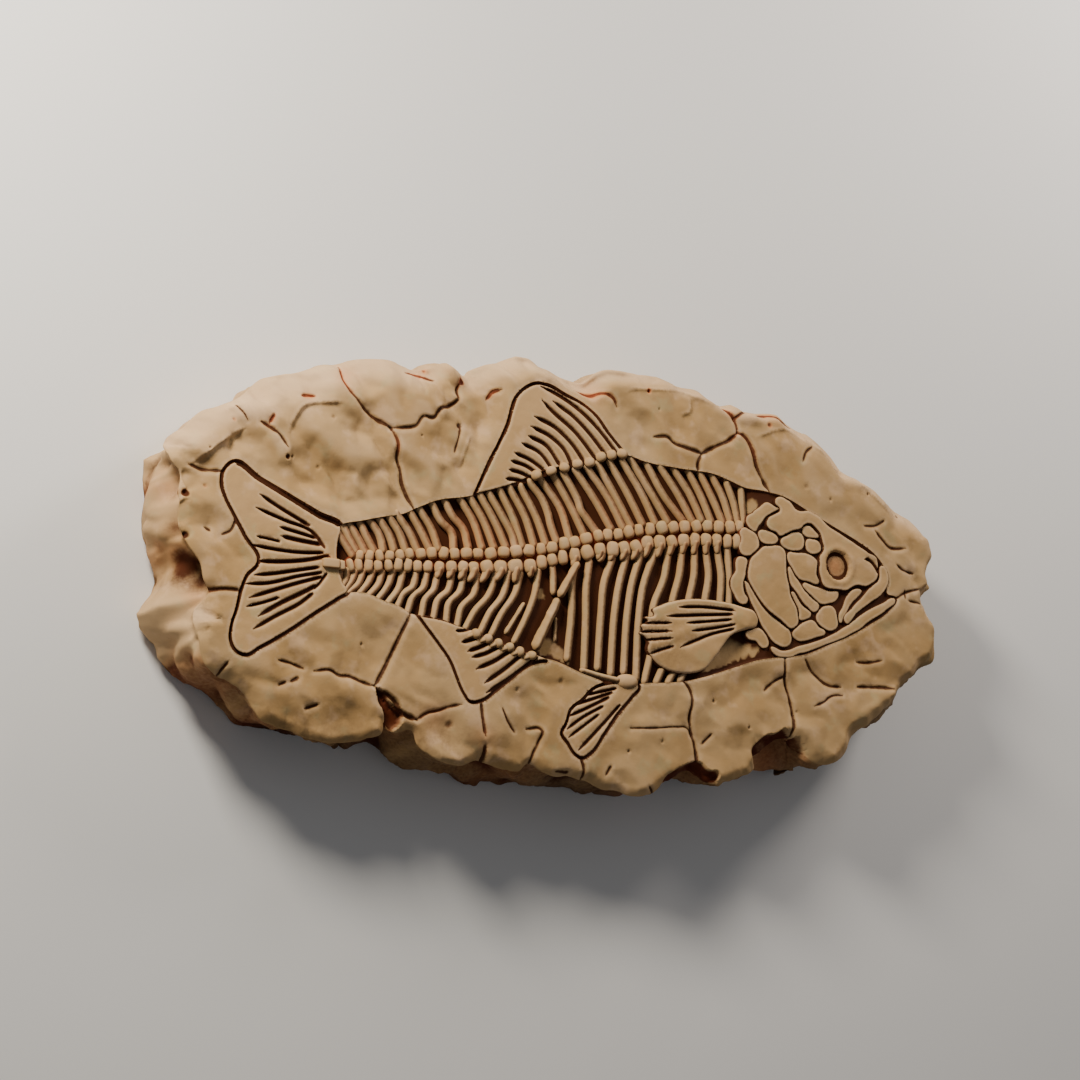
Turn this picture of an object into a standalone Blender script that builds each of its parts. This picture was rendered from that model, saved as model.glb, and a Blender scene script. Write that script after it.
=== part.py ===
"""Fossil fish slab: a rough oval block of stone that lies on its flat base, with a fish's
skeleton lying in a shallow bed in its upper face.

Every length below is in millimetres and turns into metres when a mesh or curve is made.
The origin is in the middle of the flat base. +Z points out of the carved face, +X runs
along the fish towards its snout and +Y towards its back fin.
"""
import math

import bmesh
import bpy
from mathutils import Matrix, Vector, noise
from mathutils.bvhtree import BVHTree

MM = 0.001
OBJECT_NAME = "fossil_fish_slab"

# Heights above the base
FACE = 26.0
BODY_FLOOR = 22.4
FIN_FLOOR = 23.2
ABOVE_POCKETS = 34.0
CLEARANCE = 0.3
BONE_LOW = BODY_FLOOR + CLEARANCE

# The stone's outline where the carved face ends, seen from above
RIM = [
    (-119, 15), (-119.5, 10), (-118.5, 6), (-118.5, 0.5), (-116.5, -4.5), (-113.5, -8.5), (-112.5, -13),
    (-110, -16.5), (-111.5, -20.5), (-113, -25.5), (-112.5, -30.5), (-110.5, -34.5), (-105.5, -38),
    (-101.5, -39), (-98.5, -41.5), (-93.5, -48), (-90, -49.5), (-85, -50), (-82, -52), (-77, -52.5),
    (-71, -52.5), (-62.5, -51.5), (-59.5, -50), (-57.5, -46.5), (-55.5, -49), (-50, -48), (-48.5, -52),
    (-44.5, -55), (-40.5, -56), (-35, -56.5), (-29, -55), (-21.5, -56.5), (-16.5, -56.5), (-14, -54.5),
    (-9.5, -56.5), (-5.5, -57.5), (3.5, -57.5), (7, -59), (13.5, -59.5), (18, -61), (23, -61), (26.5, -60),
    (30.5, -57), (35, -54.5), (40, -52), (46.5, -55), (53, -54), (59.5, -51.5), (63, -47), (67.5, -43),
    (72.5, -41), (76.5, -43), (79.5, -46.5), (84, -48.5), (89.5, -47), (95, -38), (100, -35), (106, -30),
    (112.5, -23.5), (119, -17), (123.5, -12.5), (125.5, -3.5), (121, 4.5), (122.5, 8), (121.5, 11.5),
    (124, 17), (124, 20.5), (120.5, 25), (110, 32), (105, 35), (93.5, 40), (88, 44.5), (82, 48.5), (76, 51),
    (69.5, 54), (60.5, 54), (47, 55.5), (41.5, 58.5), (34, 59), (26, 60.5), (12, 60), (4.5, 56.5), (-3, 56.5),
    (-9.5, 58.5), (-15, 60), (-24.5, 58.5), (-35, 53), (-40.5, 55), (-53, 51.5), (-66.5, 52.5),
    (-80.5, 47.5), (-94, 42.5), (-100.5, 37), (-111.5, 32.5), (-116, 28), (-120.5, 23), (-122, 18.5),
]

# Hollows (negative) and bulges (positive) of the wall: middle on the rim, reach and depth
WALL_LUMPS = [
    ((-112, -12), 10, -4.0), ((-119, 8), 8, -1.5), ((-115, -26), 9, 3.0), ((-121, 20), 8, 2.5),
    ((-58, -48), 9, 2.5), ((-100, -41), 12, 2.0), ((-30, -56), 12, -1.5), ((5, -58), 14, 1.5),
    ((45, -54), 10, 1.0), ((72, -42), 10, 5.0), ((40, -52), 9, 2.5), ((120, -15), 14, 1.0),
    ((123, 5), 10, -1.5), ((100, 37), 15, 1.5), ((0, 57), 15, 1.5), ((-60, 52), 15, 1.0), ((-100, 38), 15, 1.0),
]

# Broad dents (negative) and swellings (positive) of the face: middle, reach and height
FACE_LUMPS = [
    ((-92, 33), 9, -1.2), ((-78, 30), 10, 0.5), ((-66, 28), 8, -0.7), ((-48, 27), 9, 0.4), ((-85, -2), 7, 0.3),
    ((-96, 38), 8, 0.5), ((-113, 0), 8, -0.7), ((-66, -27), 9, -0.5), ((-80, -38), 10, 0.5), ((-42, -34), 8, 0.4),
    ((-20, -38), 7, 0.4), ((20, -48), 11, 0.6), ((55, -38), 10, 0.5), ((92, -30), 10, 0.5), ((110, -8), 9, -0.4),
    ((100, 30), 9, 0.5), ((76, 38), 8, -0.4), ((60, 42), 8, 0.4), ((30, 50), 8, 0.5), ((25, 44), 8, -0.5),
    ((-20, 30), 8, 0.3), ((-38, 40), 7, -0.6), ((-55, 43), 9, 0.5),
]

# Random roughness of the wall and the face, and how broad its lumps are
WALL_ROUGHNESS = 1.2
FACE_ROUGHNESS = 0.5
ROUGHNESS_WIDTH = 13.5

# The far shoulder reaches out by this much for each unit that it drops
FAR_LEAN = Vector((0.58, 0.25))

# Rings of the face shrink towards a line along its middle
FACE_RINGS = (0.82, 0.6)
MIDDLE_LINE_SHARE = 0.55

# The bed that holds the fish: back edge and belly edge run from the tail to the head
BACK_EDGE = [
    (-73, 5.5), (-67, 7.25), (-60, 9.25), (-54, 10.75), (-49.5, 13), (-43.25, 15.75), (-36.25, 17.25),
    (-27.75, 19.75), (-19.25, 22.5), (-11.25, 25.5), (-3.75, 29), (4.25, 31.5), (11.5, 33.75), (17, 35.5),
    (22.5, 34.5), (29.25, 34), (36, 33.75), (46.25, 33.5), (51.5, 32.25), (56.75, 30.75), (63.75, 30.5),
]
HEAD_EDGE = [
    (70.75, 29.5), (80.25, 25.75), (90.25, 21.75), (98, 18.5), (103, 15.5), (106.25, 12), (108, 7.75),
    (107, 5), (111, 3.5), (107.75, -0.75), (100.75, -5.5), (93, -9.75), (85, -13.25), (76.5, -16.75),
]
BELLY_EDGE = [
    (-70, -12.5), (-65, -12.25), (-59.75, -13.75), (-55.25, -14.75), (-51.25, -16.5), (-46.25, -16.5),
    (-41, -17.25), (-35.5, -18.75), (-30, -20), (-25, -21.75), (-19.75, -23.75), (-13.5, -24.75),
    (-7, -25.5), (1, -28), (7.25, -29.75), (13.25, -31.5), (22, -29.5), (30.25, -29), (37, -28),
    (43.75, -26), (52.25, -23), (61, -20), (69.25, -19),
]
TAIL_JOINT = [(-72, -13), (-74.5, -4), (-74.5, 4.5)]

TAIL_EDGE = [
    (-104.75, 19.75), (-108, 16.25), (-108.25, 12.5), (-107, 8.75), (-104.75, 5), (-101, -1), (-97.25, -6.75),
    (-100.5, -10.75), (-102, -14.5), (-103.25, -19.75), (-104.75, -24.75), (-104.75, -28.75), (-103, -31.5),
    (-100, -32.5), (-95.5, -30), (-87.5, -25), (-79.5, -19.25), (-73.25, -15), (-70, -12.5), (-72, -8),
    (-73, -4), (-73, 0.5), (-72.25, 5.25), (-79.5, 8.5), (-88.25, 12.5), (-96.5, 16.25),
]
BACK_FIN_EDGE = [
    (-32.75, 19), (-30, 24.5), (-27.25, 30), (-25, 34.5), (-22.5, 39.5), (-21, 44.5), (-19.25, 48.75),
    (-16.75, 51.25), (-12.5, 53.25), (-8.25, 53), (-2.75, 51), (2.75, 49), (7, 46.25), (10.75, 42),
    (14, 38.75), (17.5, 35.25),
]
BACK_FIN_BASE = [(11.5, 33.75), (4.25, 31.5), (-3.75, 29), (-11.25, 25.5), (-19.25, 22.5), (-27.75, 19.75)]
BELLY_FIN_EDGE = [
    (-51, -16.5), (-47, -20.5), (-43, -25), (-40, -28.75), (-38, -33), (-36, -37), (-33.75, -39.5),
    (-29.75, -39), (-25.5, -36), (-21.25, -32.75), (-17, -29.25), (-12.75, -27), (-8.75, -26.25),
]
BELLY_FIN_BASE = [
    (-13.5, -24.75), (-19.75, -23.75), (-25, -21.75), (-30, -20), (-35.5, -18.75), (-41, -17.25), (-46.25, -16.5),
]
PELVIC_FIN_EDGE = [
    (14.5, -29), (4.75, -32.25), (1.75, -35.25), (-2.25, -38.5), (-3.75, -42.5), (-5.25, -45.5), (-3, -48.75),
    (-0.75, -51.5), (1.75, -52.5), (5, -50.75), (9.25, -45.25), (13.75, -39.25), (18.5, -34), (21, -30.75),
    (19, -28),
]
SIDE_FIN_EDGE = [
    (60.75, -8.25), (59.75, -5.75), (55.5, -4.5), (50, -3.75), (44.5, -3.5), (38.75, -3.75), (33, -4.75),
    (28, -6.5), (25, -8.5), (25.5, -9.5), (22.5, -10.75), (23.5, -11.5), (21, -13.25), (21.75, -14.25),
    (20.5, -15.25), (22.25, -16.25), (23.5, -17.5), (23.25, -19.5), (24.75, -22), (28, -24.5),
    (32.75, -25.75), (37.75, -25.5), (42.25, -24), (45.25, -21), (48.25, -17), (51.75, -13),
    (56.5, -11.2), (60, -9.9),
]

FIN_SETBACK = 0.9
BASE_REACH = 0.6
POCKET_REACH = 2.0
FIN_LOW = FIN_FLOOR + CLEARANCE
FIN_HIGH = 26.0
SLIT_RADIUS = 0.6

TAIL_SLITS = [
    [(-96.5, 10.5), (-82.5, 4.5)],
    [(-98, 7.5), (-81, 2.5)],
    [(-91, 3), (-80, 1.5)],
    [(-90.5, 0.5), (-78.5, -0.5)],
    [(-96.5, -2.5), (-91, -2.8), (-78, -2)],
    [(-95.5, -6.2), (-77, -3.5)],
    [(-97, -10.8), (-78.5, -6)],
    [(-99.5, -13.8), (-94, -12.5), (-78, -7.5)],
    [(-98.5, -17.5), (-93.5, -14.5), (-77.5, -9)],
    [(-99, -20), (-77.5, -10.8)],
    [(-95, -22), (-88, -17.8), (-78.5, -12.2)],
    [(-95.5, -25.5), (-79.5, -14.5)],
]
BACK_FIN_SLITS = [
    [(-11.5, 51), (-6, 50), (10.5, 37.2)],
    [(-14, 49), (-6, 47.8), (7.5, 37)],
    [(-10.5, 47), (-1, 41.8), (4.2, 36.8)],
    [(-13, 43), (-8, 42), (1.5, 34.6)],
    [(-14.5, 40.2), (-9.5, 38.6), (-1, 33.2)],
    [(-15, 37), (-4.5, 31.8)],
    [(-20, 34.2), (-14.5, 33.8), (-8.5, 30.8)],
    [(-19, 31.6), (-11, 30)],
    [(-20, 29), (-13, 28)],
    [(-21.5, 26.6), (-16, 25.8)],
    [(-23, 24), (-19, 24)],
]
BELLY_FIN_SLITS = [
    [(-37.5, -20.4), (-35, -20)],
    [(-36.5, -22.8), (-31.5, -22.2)],
    [(-34.5, -25.2), (-28.5, -23.6)],
    [(-33.5, -27.4), (-25, -24.2)],
    [(-31.5, -29.8), (-26.5, -27.4), (-22, -25.2)],
    [(-29.5, -33.2), (-24.5, -29.8), (-18.5, -26.6)],
    [(-29, -36), (-23, -32.4), (-17, -27.8)],
]
PELVIC_FIN_SLITS = [
    [(4.5, -34), (8, -33.2), (12.5, -31.8)],
    [(0.5, -37.2), (5.5, -35), (11, -32.8)],
    [(-1.2, -40.5), (4, -37.5), (9.5, -34.7)],
    [(-1.5, -43.8), (2, -40.7), (7.5, -37.7)],
    [(2.5, -49.6), (7.5, -44), (12.5, -38)],
]
SIDE_FIN_SLITS = [
    [(34.5, -6.5), (42.5, -6), (51, -6)],
    [(30.5, -9.5), (40.5, -8.5), (50.5, -7.6)],
    [(37, -11.2), (44, -10.4), (50, -9.2)],
    [(39, -13.6), (44.5, -12.4), (51, -10.8)],
    [(37, -17.2), (43.5, -14.6), (49.5, -12.6)],
]

BLOCK_TAPER = 0.7
KNOB_SIZE = (1.15, 1.1, 1.6)
BACK_FIN_KNOBS = [
    (-12.75, 26.75), (-8, 28.5), (-3.75, 30.25), (0.5, 31.75), (4.5, 33), (8.25, 34.25), (11.3, 35.1),
    (13.9, 35.9),
]
BELLY_FIN_KNOBS = [
    (-32.75, -21.25), (-29, -21.9), (-25, -22.9), (-21.5, -23.9), (-18.25, -25.1), (-14.75, -26.1),
]
PELVIC_KNOB = (16.5, -29.5)
PELVIC_KNOB_RADIUS = 3.1
PELVIC_BONE = [(1.5, -27.7), (14, -29.7)]

# The backbone is two rows of blocks. A row is a line of places, and its blocks stand at the X values
UPPER_ROW = [(-72.2, -2.7), (-61.25, -1.5), (-46, 0.75), (-30.5, 2.25), (-22.75, 3.5), (-14.75, 4.75),
             (-7.5, 6.5), (-0.25, 8.75), (8, 11.25), (14.5, 12.5), (21.25, 14.5), (33, 16.5), (40.75, 17.75),
             (55.75, 19)]
LOWER_ROW = [(-72.8, -5.3), (-61, -4.25), (-55, -3.5), (-43, -2.75), (-32, -1.75), (-24, -1), (-14, 0.5),
             (-7.5, 2.75), (0, 5), (8.25, 7.5), (16.5, 8.5), (20.5, 9.5), (24, 11), (32.25, 12.25),
             (40.25, 13.5), (47.5, 14.25), (54.5, 14.5)]
UPPER_BEADS = [
    -67, -64, -61, -58, -55, -52, -48.5, -45, -41.5, -38, -34.5, -30.5, -26.5, -22.5, -19, -14.5, -11, -7.5,
    -3.5, 0, 4, 7.5, 10.5, 14, 18, 21, 25, 28.5, 33, 36.5, 40.5, 44.5, 48, 52, 55,
]
LOWER_BEADS = [
    -71.5, -69, -66.5, -64, -61.5, -58.5, -55.5, -52.5, -49.5, -46, -42.5, -39, -35.5, -32, -28, -24, -19, -14,
    -10.5, -7, -4, 0, 4, 8.5, 12.5, 16.5, 20.5, 24, 28, 32, 36.5, 40, 43.5, 47.5, 51, 53.9,
]
# Half sizes and height of a block, and how far the column reaches past the middle of each row
UPPER_BEAD_SIZE = (1.15, 1.15, 1.4)
LOWER_BEAD_SIZE = (1.2, 1.3, 1.4)
COLUMN_REACH = 1.45
COLUMN_HIGH = 24.5
BEAD_LOW = COLUMN_HIGH - 0.3
SPINE_HEIGHT = BONE_LOW + 0.9

# Spines of the back: where on the upper row each starts, then its bends and its tip
BACK_SPINES = [
    (-68.5, [(-72.25, 2.25)]), (-67.3, [(-71.25, 5)]), (-64.6, [(-69.25, 5.5)]), (-61.8, [(-66.25, 6.25)]),
    (-59, [(-63.5, 7.5)]), (-55.7, [(-60.5, 8.25)]), (-52.2, [(-57.75, 9.25)]), (-48.6, [(-55, 9.75)]),
    (-44.7, [(-51.25, 11)]), (-42, [(-48.5, 12.25)]), (-37.2, [(-44.75, 14.25)]),
    (-32.8, [(-36, 9.5), (-40.75, 15.5)]), (-28.5, [(-31.75, 10.75), (-36, 16.5)]), (-24.8, [(-33, 17.5)]),
    (-21, [(-29.5, 18.25)]), (-19, [(-26.5, 19)]), (-15.8, [(-23.5, 20.5)]), (-12, [(-15.5, 14), (-20, 21)]),
    (-8.2, [(-16.5, 21.75)]), (-4.7, [(-13.5, 23.5)]), (-0.5, [(-4.25, 17.75), (-10, 24.75)]),
    (4.5, [(-6.5, 26.5)]), (8.3, [(-3, 27.75)]), (13.3, [(1, 29)]), (17.3, [(5, 30)]), (20, [(8.5, 31.25)]),
    (23.8, [(12.5, 32.25)]), (28, [(16.75, 32.5)]), (32.4, [(19.5, 33.5)]),
    (37.3, [(30, 25.5), (24.5, 33)]), (40.5, [(29.25, 32.75)]), (43.6, [(33.75, 32.5)]),
    (46.9, [(38.5, 32.5)]), (51, [(42.5, 32.25)]), (53.3, [(46.75, 32)]), (54.6, [(52, 30.5)]),
    (55.4, [(56.6, 22.5), (56.2, 29.5)]),
]
# Spines of the rear belly, and ribs: where on the lower row each starts, then its bends and its tip
BELLY_SPINES = [
    (-71.7, [(-71.8, -8.6)]), (-70, [(-71, -10)]), (-67.6, [(-69.25, -9.5)]), (-64.8, [(-69, -11.5)]),
    (-61.8, [(-65.5, -11.25)]), (-59, [(-63.25, -12)]), (-55.6, [(-60.75, -12.75)]),
    (-52.6, [(-57.75, -13.5)]), (-48.8, [(-51, -9.75), (-54.75, -14)]), (-45.2, [(-51.5, -15)]),
    (-42.2, [(-47.5, -15.5)]), (-37.6, [(-43.75, -15.5)]), (-33.8, [(-40, -16)]), (-29.5, [(-36.5, -17)]),
    (-24, [(-33.25, -17.5)]), (-20, [(-23.5, -10), (-29, -18.5)]), (-16, [(-25.5, -18.75)]),
    (-10.8, [(-13.25, -9.5), (-17.75, -20.5)]), (-6.8, [(-6.5, -4)]),
]
RIBS = [
    (5.5, [(0.4, -4.25), (-2, -23.5)]), (8, [(5, -4.5), (3.5, -25)]), (14, [(10, -1.75), (7.75, -25.5)]),
    (18.6, [(15, -1.5), (12, -25.5)]), (23.2, [(19, -1.75), (16.5, -24.5)]),
    (28.2, [(22.75, -2), (20.75, -25)]), (31.9, [(30.5, 1.75), (26.25, -7), (23.75, -27)]),
    (36.3, [(35.25, 3.75), (27.75, -27)]), (40.4, [(40, 3.25), (31.75, -26.5)]),
    (43.6, [(45, 3.75), (43.75, -3), (35.5, -26)]), (47.6, [(49.25, 4.25), (48.75, -2.5)]),
    (51.2, [(51.75, -3)]),
]
# Radius of a spine along its way and at its tip
BACK_SPINE_RADII = (0.8, 0.45)
BELLY_SPINE_RADII = (0.7, 0.45)
RIB_RADII = (0.8, 0.5)

# Loose bones that lie in the bed: name, path, radius
LOOSE_BONES = [
    ("broken_bone_upper", [(0.6, 2.4), (-5.3, -7.1)], 1.1),
    ("broken_bone_lower", [(-5.75, -8.75), (-13.2, -22.3)], 1.2),
    ("broken_rib_front", [(-5.4, -13), (-5.75, -20)], 0.5),
    ("broken_rib_back", [(-15.5, -9.75), (-18.25, -14), (-21.5, -19)], 0.6),
]

# Bones of the head and shoulder: name, outline and height of the upper side
BONE_SETBACK = 0.2
HEAD_BONES = [
    ("skull_roof", 26.2, [
        (69.4, 27.6), (72.2, 28.4), (80.4, 24.6), (89.6, 20.8), (96.6, 17.6), (101.4, 15), (103.8, 12),
        (103.4, 9), (100, 6.4), (96.4, 6.4), (91.6, 4.4), (86.2, 3.6), (83.4, 4.8), (82.4, 7.4),
        (82.6, 12.6), (84.4, 15.4), (83.4, 17.8), (78.4, 22.6), (74.8, 21), (70.6, 18.4), (67.2, 18.8),
        (66, 20), (66.8, 22.8)]),
    ("temple_bone", 25.2, [(68.8, 16.8), (72.4, 18.6), (77, 19.2), (77.2, 15.2), (74, 14), (70.6, 14.6)]),
    ("orbit_bone", 25.2, [(78.4, 17.2), (82.6, 16.8), (83.2, 15.6), (78.6, 15.2)]),
    ("nape_crescent", 25.4, [
        (58, 19.4), (58.1, 22), (60, 24.6), (63.8, 26.6), (67.2, 26), (63.6, 24), (60.8, 21.6), (60.4, 19)]),
    ("neck_bone", 25.8, [
        (57.6, 18.6), (60.6, 17), (60.8, 14.2), (59.4, 11.8), (56.8, 10.8), (56.1, 12.2), (55.9, 15.4),
        (56.4, 17.4)]),
    ("nape_bone", 25.4, [(61.4, 16.8), (63.2, 18.2), (66.6, 18.4), (68.2, 17), (66.6, 15.4), (63.2, 15)]),
    ("gill_cover", 26.2, [
        (58.2, 9.2), (60.8, 12.2), (64.6, 14), (68, 14.6), (70.2, 13.4), (70.8, 9.2), (71, 4.8), (72.6, 0),
        (74.6, -4.2), (74.6, -7.8), (72.4, -9.6), (68.4, -7.2), (64.2, -4.6), (60.8, -0.8), (58.4, 2.4),
        (57.6, 4.4)]),
    ("shoulder_bone", 25.8, [
        (56.6, 3.2), (58.8, 1), (61.4, -2.6), (64.8, -5.8), (69.4, -8.4), (71.8, -10.2), (71.8, -12.8),
        (70, -14.6), (67.2, -13.8), (64.4, -10.6), (62, -6.6), (58.6, -1.4)]),
    ("shoulder_blade", 25.6, [
        (55.2, 9.8), (57.2, 9.8), (56.8, 5.4), (56, 2.4), (56.2, -1), (57.2, -2.2), (54.6, -2.2),
        (53.2, -0.2), (53, 2.8), (54.4, 5.4)]),
    ("cheek_plate", 25.8, [
        (71.8, 13), (75.8, 13), (80, 12.2), (81.8, 11.6), (81.6, 7.6), (82.8, 5.4), (79.2, 5), (75.2, 5.8),
        (72.8, 8.6)]),
    ("cheek_bar", 25.9, [
        (71.6, 8.8), (74.8, 5.2), (79, 0.6), (82.4, -2), (80.8, -3.8), (76.4, -1.2), (73.2, 2.8), (72, 5.8)]),
    ("gill_bar", 25.6, [(73, 1.8), (76.2, -2), (79.6, -4.4), (77.4, -6.4), (75.6, -6.6), (75.2, -3.6)]),
    ("cheek_lower", 25.6, [
        (76.8, 4.4), (81, 3.6), (86, 2.8), (89, 3.2), (85.8, -0.2), (83.4, -1), (79.9, 1)]),
    ("jaw_joint", 25.8, [
        (84, -2), (86.8, -2), (88.6, -4.2), (88.8, -6.8), (86.6, -8.4), (83.4, -8), (81.4, -5.4)]),
    ("lower_gill_cover", 25.6, [
        (75.6, -7.8), (80, -6.4), (82, -8), (84.4, -9.2), (81.2, -10.8), (74.8, -12), (73, -11.2)]),
    ("upper_jaw", 26.1, [
        (105, 12.4), (107.2, 8.2), (105, 4.6), (100.6, 1.2), (95.8, -2.4), (91.4, -6.2), (90.8, -5.2),
        (94.2, -1), (98, 2.6), (101, 5.6), (104, 8.2)]),
    ("tooth_bone", 25, [
        (90.8, -1.6), (95.4, 4.4), (97.4, 4.6), (93.6, -0.6), (91.4, -4.4), (89.8, -6.4), (89.2, -4.2)]),
    ("lower_jaw", 26, [
        (110.2, 2.8), (105.6, 1), (99.8, -1.6), (93.8, -5.4), (88, -8.8), (81.6, -11.6), (75.2, -13.8),
        (71.8, -15.2), (68.8, -16), (65, -15.8), (66.4, -17.2), (70.2, -17.8), (76.2, -16), (84.4, -12.8),
        (92.8, -9), (100.2, -4.8), (107, -0.4)]),
    ("throat_bone", 25.2, [(56.2, -12.4), (60.6, -11.2), (62.4, -12.4), (63.8, -15), (60.6, -14.2), (57.2, -13.6)]),
]
EYE = (88.6, 10.8)
EYE_RADIUS = 2.9
EYE_HIGH = 25.4
ORBIT_RADIUS = 3.4
ORBIT_RIM_RADIUS = 4.4
ORBIT_RIM_HIGH = 26.7

# Cracks of the stone, each a groove along these places
CRACK_RADIUS = 1.1
CRACK_TIP_RADIUS = 0.5
CRACK_SINK = 0.3
CRACKS = [
    [(-71.5, 50.5), (-71, 44), (-64.5, 37.5), (-58.5, 34), (-56, 29), (-54.5, 19.5), (-51, 12.5)],
    [(-59, 34), (-51, 35.5), (-48.5, 38.5), (-45.5, 38.5), (-37, 45), (-35.5, 52)],
    [(-116.5, 17.5), (-107.5, 16.5)],
    [(-101.5, -15), (-116.5, -15), (-123, -10)],
    [(-80, -34.5), (-69.5, -35), (-61.5, -37.5), (-49, -45), (-42.5, -42), (-36, -40)],
    [(-51, -16), (-55, -24), (-61.5, -37.5), (-60, -41.5), (-56, -48)],
    [(-30, -38.5), (-29.5, -44), (-28, -56)],
    [(35, -27.5), (38, -34.5), (38, -41), (39.5, -53)],
    [(70, -17.5), (70.5, -24), (73, -34.5), (72.5, -42)],
    [(77.5, -17), (82.5, -23), (90, -25)],
    [(41, 33.5), (42.5, 38.5), (51.5, 44), (54.5, 47), (59.5, 43), (63.5, 33.5), (66, 30)],
    [(42.9, 38.4), (33, 40), (26, 42)],
    [(54.3, 46.5), (54, 52.5), (48, 55.5)],
    [(103.5, 23), (109, 18.5), (115, 19)],
    [(99.5, 1.5), (110, 3), (120, 7)],
]

STONE = (0.56, 0.43, 0.28)
BONE = (0.68, 0.55, 0.38)


def clear_scene():
    for thing in list(bpy.data.objects):
        bpy.data.objects.remove(thing, do_unlink=True)


def collection(name):
    group = bpy.data.collections.new(name)
    bpy.context.scene.collection.children.link(group)
    return group


def material(name, colour):
    mat = bpy.data.materials.new(name)
    mat.use_nodes = True
    shader = mat.node_tree.nodes["Principled BSDF"]
    shader.inputs["Base Color"].default_value = (*colour, 1.0)
    shader.inputs["Roughness"].default_value = 0.8
    shader.inputs["Metallic"].default_value = 0.0
    return mat


def add_part(name, mesh, colour):
    part = bpy.data.objects.new(name, mesh)
    parts.objects.link(part)
    mesh.materials.clear()
    mesh.materials.append(material(name, colour))
    return part


def add_cutter(name, mesh):
    cutter = bpy.data.objects.new(name, mesh)
    cutters.objects.link(cutter)
    cutter.hide_render = True
    cutter.display_type = "WIRE"
    return cutter


def combine(part, cutter, operation, self_crossing=False):
    step = part.modifiers.new(cutter.name, "BOOLEAN")
    step.object = cutter
    step.operation = operation
    step.solver = "EXACT"
    step.use_self = self_crossing


def mesh_of_curve(curve, name):
    """The closed mesh of a curve, with its caps welded on."""
    holder = bpy.data.objects.new(name, curve)
    bpy.context.scene.collection.objects.link(holder)
    evaluated = holder.evaluated_get(bpy.context.evaluated_depsgraph_get())
    mesh = bpy.data.meshes.new_from_object(evaluated)
    mesh.name = name
    bpy.data.objects.remove(holder, do_unlink=True)
    bpy.data.curves.remove(curve)
    bm = bmesh.new()
    bm.from_mesh(mesh)
    bmesh.ops.remove_doubles(bm, verts=bm.verts, dist=0.01 * MM)
    bmesh.ops.recalc_face_normals(bm, faces=bm.faces)
    bm.to_mesh(mesh)
    bm.free()
    return mesh


def plate_mesh(name, outline, low, high):
    """A flat plate between two heights."""
    curve = bpy.data.curves.new(name, "CURVE")
    curve.dimensions = "2D"
    curve.fill_mode = "BOTH"
    curve.extrude = (high - low) / 2 * MM
    spline = curve.splines.new("POLY")
    spline.use_cyclic_u = True
    spline.points.add(len(outline) - 1)
    for point, (x, y) in zip(spline.points, outline):
        point.co = (x * MM, y * MM, 0, 1)
    mesh = mesh_of_curve(curve, name)
    middle = (high + low) / 2 * MM
    for vertex in mesh.vertices:
        vertex.co.z += middle
    return mesh


def rod_mesh(name, paths):
    """Four-sided rods along paths of (place, radius)."""
    curve = bpy.data.curves.new(name, "CURVE")
    curve.dimensions = "3D"
    curve.bevel_depth = MM
    curve.bevel_resolution = 0
    curve.use_fill_caps = True
    for path in paths:
        spline = curve.splines.new("POLY")
        spline.points.add(len(path) - 1)
        for point, (place, radius) in zip(spline.points, path):
            point.co = (*(Vector(place) * MM), 1)
            point.radius = radius
    return mesh_of_curve(curve, name)


def flat_path(places, height, radii):
    return [((x, y, height), radius) for (x, y), radius in zip(places, radii)]


def block_mesh(name, blocks):
    """Small blocks that narrow upwards, each with a middle of its base and its half sizes and height."""
    bm = bmesh.new()
    for (x, y, low), (half_x, half_y, height) in blocks:
        made = bmesh.ops.create_cone(bm, cap_ends=True, segments=4, radius1=math.sqrt(2),
                                     radius2=math.sqrt(2) * BLOCK_TAPER, depth=1)
        size = Matrix.Diagonal((half_x * MM, half_y * MM, height * MM, 1))
        place = Matrix.Translation(Vector((x, y, low + height / 2)) * MM)
        turn = Matrix.Rotation(math.radians(45), 4, "Z")
        bmesh.ops.transform(bm, verts=made["verts"], matrix=place @ size @ turn)
    mesh = bpy.data.meshes.new(name)
    bm.to_mesh(mesh)
    bm.free()
    return mesh


def cylinder_mesh(name, middle, low, high, radius, top_radius=None, sides=16):
    bm = bmesh.new()
    bmesh.ops.create_cone(bm, cap_ends=True, segments=sides, radius1=radius * MM,
                          radius2=(radius if top_radius is None else top_radius) * MM, depth=(high - low) * MM)
    bmesh.ops.translate(bm, verts=bm.verts, vec=Vector((*middle, (low + high) / 2)) * MM)
    mesh = bpy.data.meshes.new(name)
    bm.to_mesh(mesh)
    bm.free()
    return mesh


def setback(outline, distance):
    """The same closed outline, moved inwards."""
    count = len(outline)
    area = sum(outline[i][0] * outline[(i + 1) % count][1] - outline[(i + 1) % count][0] * outline[i][1]
               for i in range(count))
    side = 1 if area > 0 else -1
    result = []
    for i, place in enumerate(outline):
        before = (Vector(place) - Vector(outline[i - 1])).normalized()
        after = (Vector(outline[(i + 1) % count]) - Vector(place)).normalized()
        normal = Vector((-(before.y + after.y), before.x + after.x)).normalized() * side
        sharpness = max(0.5, normal.dot(Vector((-before.y, before.x)) * side))
        moved = Vector(place) + normal * distance / sharpness
        result.append((moved.x, moved.y))
    return result


def shifted(outline, rise):
    return [(x, y + rise) for x, y in outline]


def on_row(row, x):
    """Height along Y of a row of places at x."""
    for (x0, y0), (x1, y1) in zip(row, row[1:]):
        if x <= x1:
            break
    return y0 + (y1 - y0) * (x - x0) / (x1 - x0)


def lumps_at(x, y, lumps):
    return sum(height * math.exp(-((x - mx) ** 2 + (y - my) ** 2) / reach ** 2) for (mx, my), reach, height in lumps)


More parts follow.
